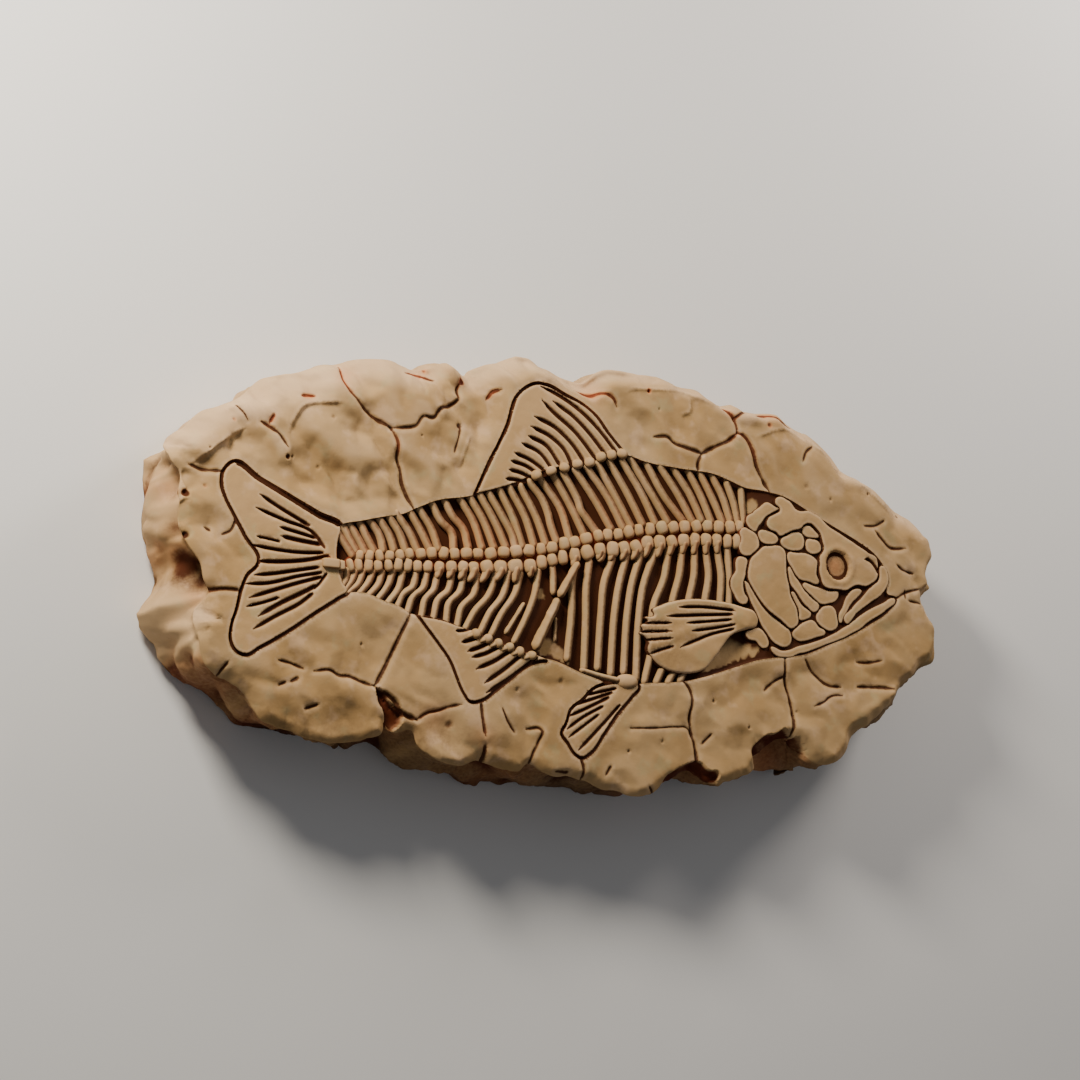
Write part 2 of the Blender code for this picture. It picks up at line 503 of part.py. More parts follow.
def smooth_step(low, high, value):
    t = min(1, max(0, (value - low) / (high - low)))
    return t * t * (3 - 2 * t)


def rim_frames():
    """For each place of the rim: the place, its outward direction and the smoother wall's place."""
    count = len(RIM)
    frames = []
    for i, place in enumerate(RIM):
        along = Vector(RIM[(i + 3) % count]) - Vector(RIM[i - 3])
        outward = Vector((along.y, -along.x)).normalized()
        near = [Vector(RIM[(i + k) % count]) for k in range(-3, 4)]
        wall = sum(near, Vector((0, 0))) / len(near)
        frames.append((Vector(place), outward, wall))
    return frames


def rounding(place, outward):
    """Width and drop of the worn shoulder: broad at the back edge on the tail's side, crisp at the belly."""
    back = smooth_step(-0.2, 0.7, outward.y)
    head = smooth_step(0.3, 0.9, outward.x)
    tailward = smooth_step(-20, -80, place.x)
    width = 1.2 + back * (4 + 8 * tailward) + head * 1.5
    drop = 1.0 + back * (3.5 + 2.5 * tailward) + head * 2.0
    return width, drop


def slab_rings(place, outward, wall):
    """Places down the wall and over the shoulder for one direction, from the base up to the face."""
    width, drop = rounding(place, outward)
    bulge = lumps_at(place.x, place.y, WALL_LUMPS)
    rough = WALL_ROUGHNESS * noise.noise(Vector((place.x, place.y, 0)) / ROUGHNESS_WIDTH)
    far_side = smooth_step(-0.1, 0.5, outward.dot(FAR_LEAN.normalized()))
    place = place + FAR_LEAN * (drop - 1) * far_side
    wall = wall + FAR_LEAN * (drop - 1) * far_side
    edge = FACE - drop
    rings = [
        (wall - outward * 2.2, 0.0),
        (wall + outward * (0.9 + bulge + rough), edge * 0.45),
        (wall + outward * (-0.6 + 0.7 * bulge - rough), edge * 0.75),
        (place - outward * 0.5, edge - 1.5),
    ]
    for turn in (0, 45, 90):
        angle = math.radians(turn)
        rings.append((place - outward * width * (1 - math.cos(angle)), edge + drop * math.sin(angle)))
    smooth_place = wall - outward * width
    middle = Vector((smooth_place.x * MIDDLE_LINE_SHARE, 0))
    for share in FACE_RINGS:
        rings.append((middle + (smooth_place - middle) * share, FACE))
    return rings


def make_slab():
    """A sphere whose rings become the base, the wall, the shoulder and the face."""
    frames = rim_frames()
    columns = [slab_rings(*frame) for frame in frames]
    ring_count = len(columns[0])
    bm = bmesh.new()
    bmesh.ops.create_uvsphere(bm, u_segments=len(RIM), v_segments=ring_count + 1, radius=1)
    for vertex in bm.verts:
        ring = round((1 - math.acos(max(-1, min(1, vertex.co.z))) / math.pi) * (ring_count + 1)) - 1
        column = round(math.atan2(vertex.co.y, vertex.co.x) / math.tau * len(RIM)) % len(RIM)
        if 0 <= ring < ring_count:
            spot, height = columns[column][ring]
        else:
            spot, height = Vector((0, 0)), FACE if ring >= ring_count else 0.0
        if height >= FACE - 0.01:
            roughness = FACE_ROUGHNESS * noise.noise(Vector((spot.x, spot.y, 0)) / ROUGHNESS_WIDTH)
            height = FACE + roughness + lumps_at(spot.x, spot.y, FACE_LUMPS)
        vertex.co = Vector((spot.x, spot.y, height)) * MM
    bmesh.ops.triangulate(bm, faces=bm.faces)
    bmesh.ops.recalc_face_normals(bm, faces=bm.faces)
    surface = BVHTree.FromBMesh(bm)
    mesh = bpy.data.meshes.new("stone_slab")
    bm.to_mesh(mesh)
    bm.free()
    return add_part("stone_slab", mesh, STONE), surface


def surface_height(surface, x, y):
    hit = surface.ray_cast(Vector((x, y, 2 * FACE)) * MM, Vector((0, 0, -1)))[0]
    return FACE - 3 if hit is None else hit.z / MM


def crack_path(surface, places):
    path = []
    for i, (x, y) in enumerate(places):
        radius = CRACK_RADIUS if 0 < i < len(places) - 1 else CRACK_TIP_RADIUS
        path.append(((x, y, surface_height(surface, x, y) - CRACK_SINK), radius))
    return path


def cut_beds(slab, surface):
    """The shallow beds for the body and the fins, and the cracks."""
    body = BACK_EDGE + HEAD_EDGE + BELLY_EDGE[::-1] + TAIL_JOINT
    beds = [
        ("body_bed", body, BODY_FLOOR),
        ("tail_bed", TAIL_EDGE, FIN_FLOOR),
        ("back_fin_bed", BACK_FIN_EDGE + shifted(BACK_FIN_BASE, -POCKET_REACH), FIN_FLOOR),
        ("belly_fin_bed", BELLY_FIN_EDGE + shifted(BELLY_FIN_BASE, POCKET_REACH), FIN_FLOOR),
        ("pelvic_fin_bed", PELVIC_FIN_EDGE, FIN_FLOOR),
    ]
    for name, outline, floor in beds:
        combine(slab, add_cutter(name, plate_mesh(name, outline, floor, ABOVE_POCKETS)), "DIFFERENCE")
    knob_bed = cylinder_mesh("pelvic_knob_bed", PELVIC_KNOB, FIN_FLOOR - 0.1, ABOVE_POCKETS,
                             PELVIC_KNOB_RADIUS + 0.6)
    combine(slab, add_cutter("pelvic_knob_bed", knob_bed), "DIFFERENCE")
    cracks = rod_mesh("cracks", [crack_path(surface, places) for places in CRACKS])
    combine(slab, add_cutter("cracks", cracks), "DIFFERENCE", self_crossing=True)


def slit_paths(slits, height):
    paths = []
    for places in slits:
        radii = [SLIT_RADIUS * (0.5 if i in (0, len(places) - 1) else 1) for i in range(len(places))]
        paths.append(flat_path(places, height, radii))
    return paths


def make_fin(name, outline, slits, low, high, knobs=()):
    fin = add_part(name, plate_mesh(name, outline, low, high), BONE)
    slit_mesh = rod_mesh(name + "_slits", slit_paths(slits, high))
    combine(fin, add_cutter(name + "_slits", slit_mesh), "DIFFERENCE", self_crossing=True)
    if knobs:
        knob_mesh = block_mesh(name + "_knobs", [((x, y, high - 0.8), KNOB_SIZE) for x, y in knobs])
        combine(fin, add_cutter(name + "_knobs", knob_mesh), "UNION")
    return fin


def make_fins():
    make_fin("tail_fin", setback(TAIL_EDGE, FIN_SETBACK), TAIL_SLITS, FIN_LOW, FIN_HIGH)
    back_fin = setback(BACK_FIN_EDGE + shifted(BACK_FIN_BASE, -BASE_REACH), FIN_SETBACK)
    make_fin("back_fin", back_fin, BACK_FIN_SLITS, FIN_LOW, FIN_HIGH, BACK_FIN_KNOBS)
    belly_fin = setback(BELLY_FIN_EDGE + shifted(BELLY_FIN_BASE, BASE_REACH), FIN_SETBACK)
    make_fin("belly_fin", belly_fin, BELLY_FIN_SLITS, FIN_LOW, FIN_HIGH, BELLY_FIN_KNOBS)
    pelvic = make_fin("pelvic_fin", setback(PELVIC_FIN_EDGE, FIN_SETBACK), PELVIC_FIN_SLITS, FIN_LOW, FIN_HIGH)
    knob = cylinder_mesh("pelvic_knob", PELVIC_KNOB, FIN_LOW, 26.9, PELVIC_KNOB_RADIUS, 1.8, 14)
    combine(pelvic, add_cutter("pelvic_knob", knob), "UNION")
    bone = rod_mesh("pelvic_bone", [flat_path(PELVIC_BONE, FIN_LOW + 0.8, (0.5, 0.7))])
    combine(pelvic, add_cutter("pelvic_bone", bone), "UNION")
    side_low = SPINE_HEIGHT + 0.9 + CLEARANCE
    make_fin("side_fin", SIDE_FIN_EDGE, SIDE_FIN_SLITS, side_low, side_low + 2.2)


def make_backbone():
    """A column with two rows of blocks on it, and the spines and ribs that grow from its sides."""
    outline = shifted(LOWER_ROW, -COLUMN_REACH) + shifted(UPPER_ROW, COLUMN_REACH)[::-1]
    backbone = add_part("backbone", plate_mesh("backbone", outline, BONE_LOW, COLUMN_HIGH), BONE)
    paths = []
    for row, spines, (radius, tip_radius) in (
            (UPPER_ROW, BACK_SPINES, BACK_SPINE_RADII),
            (LOWER_ROW, BELLY_SPINES, BELLY_SPINE_RADII),
            (LOWER_ROW, RIBS, RIB_RADII)):
        for start, places in spines:
            radii = [radius] * len(places) + [tip_radius]
            paths.append(flat_path([(start, on_row(row, start))] + places, SPINE_HEIGHT, radii))
    combine(backbone, add_cutter("spines", rod_mesh("spines", paths)), "UNION", self_crossing=True)
    blocks = [((x, on_row(UPPER_ROW, x), BEAD_LOW), UPPER_BEAD_SIZE) for x in UPPER_BEADS]
    blocks += [((x, on_row(LOWER_ROW, x), BEAD_LOW), LOWER_BEAD_SIZE) for x in LOWER_BEADS]
    combine(backbone, add_cutter("beads", block_mesh("beads", blocks)), "UNION", self_crossing=True)


def make_head():
    for name, high, outline in HEAD_BONES:
        bone = add_part(name, plate_mesh(name, setback(outline, BONE_SETBACK), BONE_LOW, high), BONE)
        if name == "skull_roof":
            rim = cylinder_mesh("orbit_rim", EYE, BONE_LOW + 0.2, ORBIT_RIM_HIGH, ORBIT_RIM_RADIUS)
            combine(bone, add_cutter("orbit_rim", rim), "UNION")
            hole = cylinder_mesh("orbit", EYE, BONE_LOW - 1, ABOVE_POCKETS, ORBIT_RADIUS)
            combine(bone, add_cutter("orbit", hole), "DIFFERENCE")
    eye = cylinder_mesh("eye_disc", EYE, BONE_LOW, EYE_HIGH, EYE_RADIUS, EYE_RADIUS - 0.6)
    add_part("eye_disc", eye, BONE)


def make_loose_bones():
    for name, places, radius in LOOSE_BONES:
        height = BONE_LOW + radius
        add_part(name, rod_mesh(name, [flat_path(places, height, [radius] * len(places))]), BONE)


clear_scene()
parts = collection(OBJECT_NAME)
cutters = collection("cutters")
stone, stone_surface = make_slab()
cut_beds(stone, stone_surface)
make_backbone()
make_fins()
make_head()
make_loose_bones()
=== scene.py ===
"""Fossil fish slab: a rough oval block of stone with a fish's skeleton lying in its upper face.

Lengths are in millimetres and become metres when a mesh is made. The origin is in the middle
of the flat base. +Z points out of the carved face, +X towards the fish's snout and +Y towards
its back fin.
"""
import math

import bpy
import numpy as np
from mathutils import Matrix, Vector
from mathutils.geometry import delaunay_2d_cdt


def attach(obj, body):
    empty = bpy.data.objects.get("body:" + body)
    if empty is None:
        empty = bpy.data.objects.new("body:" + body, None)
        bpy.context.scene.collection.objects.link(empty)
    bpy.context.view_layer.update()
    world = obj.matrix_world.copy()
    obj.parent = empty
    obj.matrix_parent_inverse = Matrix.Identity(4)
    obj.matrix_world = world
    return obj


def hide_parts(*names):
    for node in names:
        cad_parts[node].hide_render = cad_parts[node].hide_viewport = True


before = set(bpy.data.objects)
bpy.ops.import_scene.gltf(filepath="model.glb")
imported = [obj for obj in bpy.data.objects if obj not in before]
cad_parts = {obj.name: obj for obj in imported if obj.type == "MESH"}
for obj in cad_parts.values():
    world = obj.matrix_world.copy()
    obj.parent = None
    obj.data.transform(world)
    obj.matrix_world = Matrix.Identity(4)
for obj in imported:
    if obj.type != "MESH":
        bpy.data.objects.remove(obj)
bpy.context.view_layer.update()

# The stand: a plain pale table top, a soft lamp beyond the back edge on the tail's side, a weaker
# one beyond the same edge on the head's side, and the camera, which looks down on the carved face
# from the tail's side.
MM = 0.001
# The camera's own directions in the room, and its place in metres
VIEW_RIGHT = Vector((0.8660, 0.0, 0.5))
VIEW_UP = Vector((-0.10395, 0.97815, 0.18006))
VIEW_BACK = Vector((-0.48907, -0.20791, 0.84710))
CAMERA_PLACE = Vector((-0.4182, -0.1649, 0.7298))
LENS = 100
FILM_WIDTH = 36
NEAREST_SEEN = 0.05
FURTHEST_SEEN = 20
# The table lies a hair below the slab's base, so that their faces don't mix
TABLE_SIZE = 6.0
TABLE_DROP = 0.0002
TABLE_COLOUR = (0.74, 0.73, 0.71, 1)
TABLE_ROUGHNESS = 0.7
SKY_COLOUR = (0.95, 0.96, 1.0, 1)
SKY_STRENGTH = 0.18
# Each lamp: name, place, width, power in watts, colour
LAMPS = [
    ("back_lamp", (-0.3, 0.27, 0.22), 0.12, 3.1, (1.0, 0.93, 0.82)),
    ("side_lamp", (0.32, 0.34, 0.2), 0.16, 1.7, (1.0, 0.92, 0.84)),
]


def add_lamp(name, place, width, power, colour):
    lamp = bpy.data.lights.new(name, "AREA")
    lamp.shape = "DISK"
    lamp.size = width
    lamp.energy = power
    lamp.color = colour
    holder = bpy.data.objects.new(name, lamp)
    holder.location = place
    holder.rotation_mode = "QUATERNION"
    holder.rotation_quaternion = (-Vector(place)).to_track_quat("-Z", "Y")
    bpy.context.scene.collection.objects.link(holder)


def add_camera():
    camera = bpy.data.objects.new("camera", bpy.data.cameras.new("camera"))
    camera.data.lens = LENS
    camera.data.sensor_width = FILM_WIDTH
    camera.data.clip_start = NEAREST_SEEN
    camera.data.clip_end = FURTHEST_SEEN
    turn = Matrix((VIEW_RIGHT, VIEW_UP, VIEW_BACK)).transposed().to_4x4()
    camera.matrix_world = Matrix.Translation(CAMERA_PLACE) @ turn
    bpy.context.scene.collection.objects.link(camera)
    bpy.context.scene.camera = camera


def add_table():
    half = TABLE_SIZE / 2
    mesh = bpy.data.meshes.new("table_top")
    flat_corners = [(-half, -half), (half, -half), (half, half), (-half, half)]
    mesh.from_pydata([(x, y, -TABLE_DROP) for x, y in flat_corners], [], [(0, 1, 2, 3)])
    coating = bpy.data.materials.new("pale_table")
    coating.use_nodes = True
    shader = coating.node_tree.nodes["Principled BSDF"]
    shader.inputs["Base Color"].default_value = TABLE_COLOUR
    shader.inputs["Roughness"].default_value = TABLE_ROUGHNESS
    mesh.materials.append(coating)
    table = bpy.data.objects.new("table_top", mesh)
    bpy.context.scene.collection.objects.link(table)


def light_the_room():
    room = bpy.data.worlds.new("soft_room")
    room.use_nodes = True
    glow = room.node_tree.nodes["Background"]
    glow.inputs["Color"].default_value = SKY_COLOUR
    glow.inputs["Strength"].default_value = SKY_STRENGTH
    bpy.context.scene.world = room


add_camera()
add_table()
light_the_room()
for lamp in LAMPS:
    add_lamp(*lamp)

# The slab is one rough block of fine limestone, sawn flat below. Its face is dressed by hand, with
# a shallow bed for the skeleton. Every crack, pit and bed is painted dark brown: partly a brown
# wash rubbed in, partly painted shade.

# Heights above the base: the dressed face, the highest place on it, and the floors of the beds
FACE = 26.0
HIGHEST = 26.9
BODY_FLOOR = 23.4
HEAD_FLOOR = 25.0
FIN_FLOOR = 24.8
# Corners of the area that the slab stays within, and roughly half its length and width
BOX_LOW = (-121.9, -61.7)
BOX_HIGH = (126.8, 61.4)
HALF_LENGTH = 122
HALF_WIDTH = 60
# Spacing of the face's mesh where it is plain, and the least gap between two of its points
FACE_GRID = 0.72
POINT_GAP = 0.14

# The outline where the face ends, and the outline of the wall at a third of its height
RIM = [
    (-119, 15), (-119.5, 10), (-118.5, 6), (-118.5, 0.5), (-116.5, -4.5), (-113.5, -8.5), (-112.5, -13),
    (-110, -16.5), (-111.5, -20.5), (-113, -25.5), (-112.5, -30.5), (-110.5, -34.5), (-108, -36.5),
    (-105.5, -38), (-101.5, -39), (-98.5, -41.5), (-96, -44.5), (-93.5, -48), (-90, -49.5), (-85, -50),
    (-82, -52), (-77, -52.5), (-71, -52.5), (-62.5, -51.5), (-59.5, -50), (-57.5, -46.5), (-55.5, -49),
    (-50, -48), (-48.5, -52), (-44.5, -55), (-40.5, -56), (-35, -56.5), (-29, -55), (-25.5, -56),
    (-21.5, -56.5), (-16.5, -56.5), (-14, -54.5), (-9.5, -56.5), (-5.5, -57.5), (-1, -57.5), (3.5, -57.5),
    (7, -59), (13.5, -59.5), (18, -61), (23, -61), (26.5, -60), (30.5, -57), (35, -54.5), (40, -52),
    (42.5, -53.5), (46.5, -55), (53, -54), (59.5, -51.5), (63, -47), (67.5, -43), (72.5, -41), (76.5, -43),
    (79.5, -46.5), (84, -48.5), (89.5, -47), (93, -42), (95, -38), (100, -35), (106, -30), (112.5, -23.5),
    (119, -17), (123.5, -12.5), (125, -8), (125.5, -3.5), (123, 1), (121, 4.5), (122.5, 8), (121.5, 11.5),
    (124, 17), (124, 20.5), (120.5, 25), (114, 29), (110, 32), (105, 35), (98.5, 38), (93.5, 40),
    (88, 44.5), (82, 48.5), (76, 51), (69.5, 54), (60.5, 54), (53.5, 55), (47, 55.5), (41.5, 58.5),
    (34, 59), (26, 60.5), (18.5, 60), (12, 60), (4.5, 56.5), (-3, 56.5), (-9.5, 58.5), (-15, 60),
    (-24.5, 58.5), (-31, 55.5), (-35, 53), (-40.5, 55), (-45, 53.5), (-53, 51.5), (-60.5, 52.5),
    (-66.5, 52.5), (-72.5, 50), (-80.5, 47.5), (-87.5, 44.5), (-94, 42.5), (-100.5, 37), (-105.5, 35),
    (-111.5, 32.5), (-116, 28), (-120.5, 23), (-122, 18.5),
]
WALL_LINE = [
    (-121.5, 14), (-121.8, 8), (-121.2, 2), (-119.5, -2), (-117.5, -8), (-117.8, -13), (-119.8, -19.5),
    (-119.8, -21.5), (-118, -25.5), (-115.5, -27.5), (-115, -30), (-112.5, -34.5), (-108.5, -36.5),
    (-103, -38.5), (-99.5, -41), (-96, -43.8), (-92.3, -47), (-88, -48), (-83, -49), (-75.5, -50),
    (-66.5, -50.5), (-60, -50), (-54.5, -49), (-48.5, -51.5), (-44, -53), (-36, -53.5), (-30.5, -54.5),
    (-24, -55.8), (-14, -56.5), (-7.5, -57), (4.5, -57), (10, -57.5), (16, -58.3), (24.5, -58), (34, -56),
    (41.5, -53.5), (49, -53), (61, -51), (70, -49.5), (78, -48), (89.5, -45), (95, -43), (100, -39),
    (106, -34), (113, -27), (119, -20), (122.5, -13), (123.5, -4), (122, 4), (121.5, 12), (122.5, 19),
    (120, 26), (111, 33), (98, 40), (86, 47), (73, 53), (60, 56.5), (45, 58.5), (28, 60), (10, 59.5),
    (-8, 58.5), (-25, 57.5), (-42, 55.5), (-58, 53.5), (-72, 51.5), (-85, 47.5), (-98, 41), (-108, 35.5),
    (-116, 29.5), (-120.3, 23),
]
WALL_HEIGHTS = (0, 0.5, 1.2, 2.4, 4, 6, 8, 10, 12, 14, 16, 18, 19.5, 21, 22.5)
# How far the rim on the far side moves outwards for each mm that its shoulder is worn down
FAR_LEAN = np.array((0.58, 0.25))
# Hollows (positive) and swellings of the wall: middle in 3-D, reach, depth
WALL_DENTS = [
    ((-117.5, -9.5, 17), 6.5, 3.4), ((-114, -13, 20), 4.5, 3.0), ((-119.5, 1, 19), 4, 2.2),
    ((-119, -21, 12), 7, -0.5), ((-121, 10, 18), 4, 1.5), ((-120, 6, 10), 6, -0.8),
    ((-120.5, -3, 10), 4, 1.5), ((-111, -33, 16), 4, 2.2), ((-103, -38, 17), 4, 2.0),
    ((-95, -44, 17), 4, 2.0), ((-80, -50, 17), 5, 1.6),
    ((-58, -48, 18), 4, 3.0), ((-55, -47, 12), 4, 2.5), ((-66, -50, 14), 4, 1.5), ((-118, -13, 8), 4, 1.2),
    ((38, -52, 20), 4, 2.0), ((70, -42, 18), 5, 2.5), ((-30, -54, 17), 4, 1.2), ((10, -58, 16), 5, 1.5),
]
# How far a place on the wall seems to slide along the face, in the photo's view, for each mm below it
VIEW_SLIDE = np.array((-0.577, -0.245))
# Where the wash on the wall is dark red: middle, reach, strength
WALL_STAINS = [
    ((-112, -34), 6, 0.4), ((-104, -40), 5, 0.4), ((-92, -47), 6, 0.3), ((-56, -49), 5, 0.2),
    ((-118, -4), 5, 0.4), ((33, -57), 9, 0.6), ((70, -46), 8, 0.7), ((-20, -56), 12, 0.3),
]
# Places broken out of the face's edge: depth, outline
HOLLOWS = [
    (2.8, [(-61.5, -37.5), (-57, -41), (-53, -44), (-55, -48), (-57.5, -49), (-58.5, -46), (-60.3, -42)]),
    (3.2, [(29, -56), (32.5, -53), (36.5, -51), (41, -50), (44, -52.3), (47, -52.5), (46, -57), (38, -56),
           (31, -60)]),
    (4.8, [(58.5, -45), (60.5, -43), (64.5, -40.5), (67, -40.2), (70, -38.5), (71.5, -39.5), (73, -41),
           (75, -40.5), (76.5, -42), (78.5, -45), (79, -48), (68, -50), (60, -50)]),
]

# Broad dents (negative) and swellings of the face: middle, reach, height
FACE_LUMPS = [
    ((-92, 33), 9, -0.8), ((-78, 30), 10, 0.5), ((-66, 28), 8, -0.7), ((-48, 27), 9, 0.4),
    ((-96, 38), 8, 0.5), ((-113, 0), 8, -0.5), ((-66, -27), 9, -0.5), ((-80, -38), 10, 0.5),
    ((-42, -34), 8, 0.4), ((-20, -38), 7, 0.4), ((20, -48), 11, 0.5), ((55, -38), 10, 0.4),
    ((92, -30), 10, 0.5), ((110, -8), 9, -0.4), ((100, 30), 9, 0.5), ((76, 38), 8, -0.4),
    ((60, 42), 8, 0.4), ((30, 50), 8, 0.4), ((20.5, 41.5), 5, -0.5), ((-20, 30), 8, 0.3),
    ((-38, 40), 7, -0.6), ((-55, 43), 9, 0.5), ((-103.5, 23.5), 4, -1.1), ((-85, 22.5), 3, -0.8),
    ((-70, 16), 5, -0.5), ((28, 50.5), 4, -0.4), ((12.5, 47), 3, -0.4), ((71.5, 36), 3.5, -0.4),
    ((-38.5, -47), 4, -0.5), ((49, 42), 5, 0.3), ((95, 10), 6, 0.2), ((116, 14), 5, 0.5), ((106, 30), 5, 0.3),
    ((-95, -48), 15, -1.8), ((-70, -55), 14, -1.5), ((-30, -60), 14, -1.0), ((10, -64), 14, -1.0),
]

# Chiselled steps: drop, how far the low side reaches before it has risen again, and the places of
# the step, with its low side on the right as one walks along it
STEPS = [
    (1.1, 7, [(-116.5, 17.5), (-112.5, 20.5), (-109, 23.5), (-105, 26.5), (-100, 30)]),
    (0.9, 8, [(-89, 28), (-86.5, 34.5), (-84.5, 37), (-81, 38.5), (-76.5, 39), (-72, 39.5)]),
    (0.9, 5, [(-116.5, 9), (-117.5, 10.5), (-118.5, 13), (-118.5, 16.5)]),
    (0.9, 6, [(-117.5, 0), (-119.5, 3), (-119.5, 6.5), (-116.5, 9)]),
    (0.5, 6, [(15, 53), (18.5, 55), (25, 56), (29, 56.5), (38, 57), (42, 56), (49, 54)]),
    (0.4, 5, [(60, 46), (73, 50), (81.5, 46.5)]),
    (0.5, 5, [(78, 50), (82.5, 46.5), (89, 43), (97, 38.5), (102.5, 34.5), (106.5, 31.5), (112, 28.5)]),
    (0.5, 5, [(35, 49.5), (39, 52), (39, 56)]),
    (0.4, 6, [(-36.5, 24.5), (-35.5, 28.5), (-34.5, 32), (-33, 36)]),
]

# Cracks and grooves: width at the face, depth, places
CRACKS = [
    (1.0, 1.3, [(-71.5, 50.5), (-72, 48), (-71, 44), (-68.5, 41), (-64.5, 37.5), (-58.5, 34)]),
    (1.1, 1.4, [(-58.5, 34), (-54.5, 34.5), (-51, 35.5), (-48.5, 38.5), (-45.5, 38.5), (-43, 41.5),
                (-39.5, 43), (-37, 45), (-36.5, 48.5), (-35.5, 52)]),
    (1.2, 1.4, [(-58.5, 34), (-56.5, 30.5), (-56, 26), (-55, 23), (-54.5, 19.5), (-53, 16), (-51, 12.5)]),
    (0.9, 1.0, [(-97, 31), (-94, 29.5), (-91.5, 28), (-89, 25)]),
    (1.0, 1.0, [(-116.5, 17.5), (-113, 16.5), (-110.5, 16.3), (-108, 16.3)]),
    (0.8, 0.9, [(-103.5, 3.5), (-105, 0.5), (-107, -0.5)]),
    (1.1, 1.3, [(-101.5, -15), (-105.5, -15), (-110, -15.5), (-113, -15.2)]),
    (0.7, 0.8, [(-90.5, -32.5), (-86.5, -33), (-83, -34)]),
    (0.9, 1.0, [(-80, -34.5), (-75, -34), (-72.5, -35), (-69.5, -35), (-66.5, -36), (-62, -37)]),
    (1.2, 1.4, [(-62, -37), (-59, -32), (-55, -24), (-51.5, -16)]),
    (1.4, 2.0, [(-61.5, -37.5), (-60, -41.5), (-57.5, -45), (-56, -48)]),
    (1.4, 2.0, [(-60.5, -38), (-56, -40.5), (-53.5, -43.5), (-49, -45)]),
    (0.9, 1.0, [(-49, -45), (-46, -43), (-42.5, -42), (-40, -41), (-36, -40)]),
    (1.1, 1.3, [(-30, -38.8), (-29.5, -44), (-28.5, -48)]),
    (1.1, 1.5, [(-28.2, -50.5), (-28, -52), (-28, -56)]),
    (0.9, 1.1, [(-15, -45), (-10.5, -45), (-11.5, -48.5), (-13, -51.5), (-14, -55)]),
    (1.1, 1.3, [(1.5, -52), (2.5, -55), (2.5, -58)]),
    (1.1, 1.3, [(35, -27.5), (37.5, -30), (38, -34.5), (37.5, -37.5), (38, -41), (39.5, -45.5), (40, -50),
                (39.5, -53)]),
    (0.5, 0.5, [(17.5, -42.5), (25, -42), (33, -41), (37, -41), (38.5, -43)]),
    (1.0, 1.3, [(70, -17), (70.5, -24), (72, -29), (73, -34.5), (72.5, -42)]),
    (1.0, 1.1, [(77.5, -18), (79.5, -20.5), (82.5, -23), (86, -25), (90, -25)]),
    (0.7, 0.7, [(80, -31.5), (83.5, -30), (86.5, -28), (90.5, -27.5)]),
    (0.9, 0.9, [(63.5, -28), (67, -25), (70, -23.5)]),
    (1.0, 1.0, [(96, -24.5), (103.5, -24), (109.5, -24)]),
    (0.8, 0.8, [(96.5, -17), (100, -17), (104.5, -16)]),
    (0.9, 1.0, [(38.5, -26), (41, -25.5), (44.5, -24.5)]),
    (0.8, 0.9, [(111, 13.5), (114, 12), (117.5, 11.5)]),
    (1.2, 1.4, [(41, 33.5), (41, 36.5), (42.5, 39)]),
    (1.2, 1.4, [(42.5, 39.2), (47.5, 42), (53, 45), (55, 47)]),
    (1.1, 1.2, [(42.9, 39.2), (37.5, 40), (33.5, 41), (30.5, 42.5), (26.5, 42.3)]),
    (1.0, 1.2, [(55, 47), (54, 51), (51.5, 53.5), (49, 55.5)]),
    (0.8, 0.9, [(54, 51), (56.5, 53), (58.5, 54)]),
    (1.2, 1.4, [(55, 47), (57.5, 46), (59.5, 43), (61, 38.5), (64, 33), (66, 30)]),
    (0.8, 0.9, [(81.5, 46), (79, 44), (77.5, 41)]),
    (1.0, 1.0, [(62.5, 53), (66, 53.6), (70, 53.6), (73, 52.6), (75.5, 51.6)]),
    (1.1, 1.2, [(2.5, 53), (6, 52), (9.5, 53), (12.5, 52), (14, 49.5)]),
    (1.2, 1.2, [(-27.5, 46.5), (-25.5, 49), (-23, 50)]),
    (0.8, 0.9, [(99.5, 24), (103.5, 24.5), (107, 26.5)]),
    (1.0, 1.1, [(103.5, 23), (106, 20.5), (109, 18.5), (112, 18.5), (115, 19)]),
    (0.8, 0.9, [(108, 2.5), (110, 3), (113.5, 5), (119.5, 7)]),
    (0.7, 0.8, [(115.5, 3), (120, 2.5)]),
    (0.6, 0.6, [(114, 6), (114, 3.5)]),
    (1.1, 1.0, [(-52.5, 51), (-48.5, 51), (-43.5, 50.3)]),
    (0.9, 0.9, [(-84.5, 40), (-80.5, 40.5)]),
    (1.2, 1.3, [(-121.3, 16), (-121, 12.5), (-119.5, 9)]),
    (1.0, 1.0, [(-93, 33.5), (-94.5, 31)]),
    (0.4, 0.4, [(-103.5, 35), (-101.5, 32.5), (-100.5, 31)]),
    (0.6, 0.5, [(-36, 37.5), (-37.3, 33), (-38, 30)]),
    (0.7, 0.8, [(-23.5, -40), (-22, -43), (-19.5, -46)]),
    (0.8, 0.9, [(42, -45), (45, -42)]),
    (0.8, 0.9, [(10, -56), (11.5, -53.5)]),
    (0.9, 1.0, [(23.5, -58.5), (25.5, -60)]),
    (0.8, 0.8, [(-6, -56), (-2, -56)]),
    (0.8, 0.8, [(-90, -39), (-88, -38)]),
    (0.9, 0.9, [(-87, -38), (-84.5, -36.6)]),
    (0.9, 0.9, [(-82, -44.5), (-78.5, -43.2)]),
    (1.0, 1.2, [(-104.5, -34), (-106, -36.5), (-106.5, -38)]),
    (0.9, 0.9, [(-111.5, 1), (-110, 0.3)]),
    (0.9, 1.0, [(104.5, 11), (106, 9.5), (107, 7.5)]),
]
# Every crack is cut this much wider and shallower than the list says
CRACK_WIDENING = 1.3
CRACK_SHALLOWING = 0.5
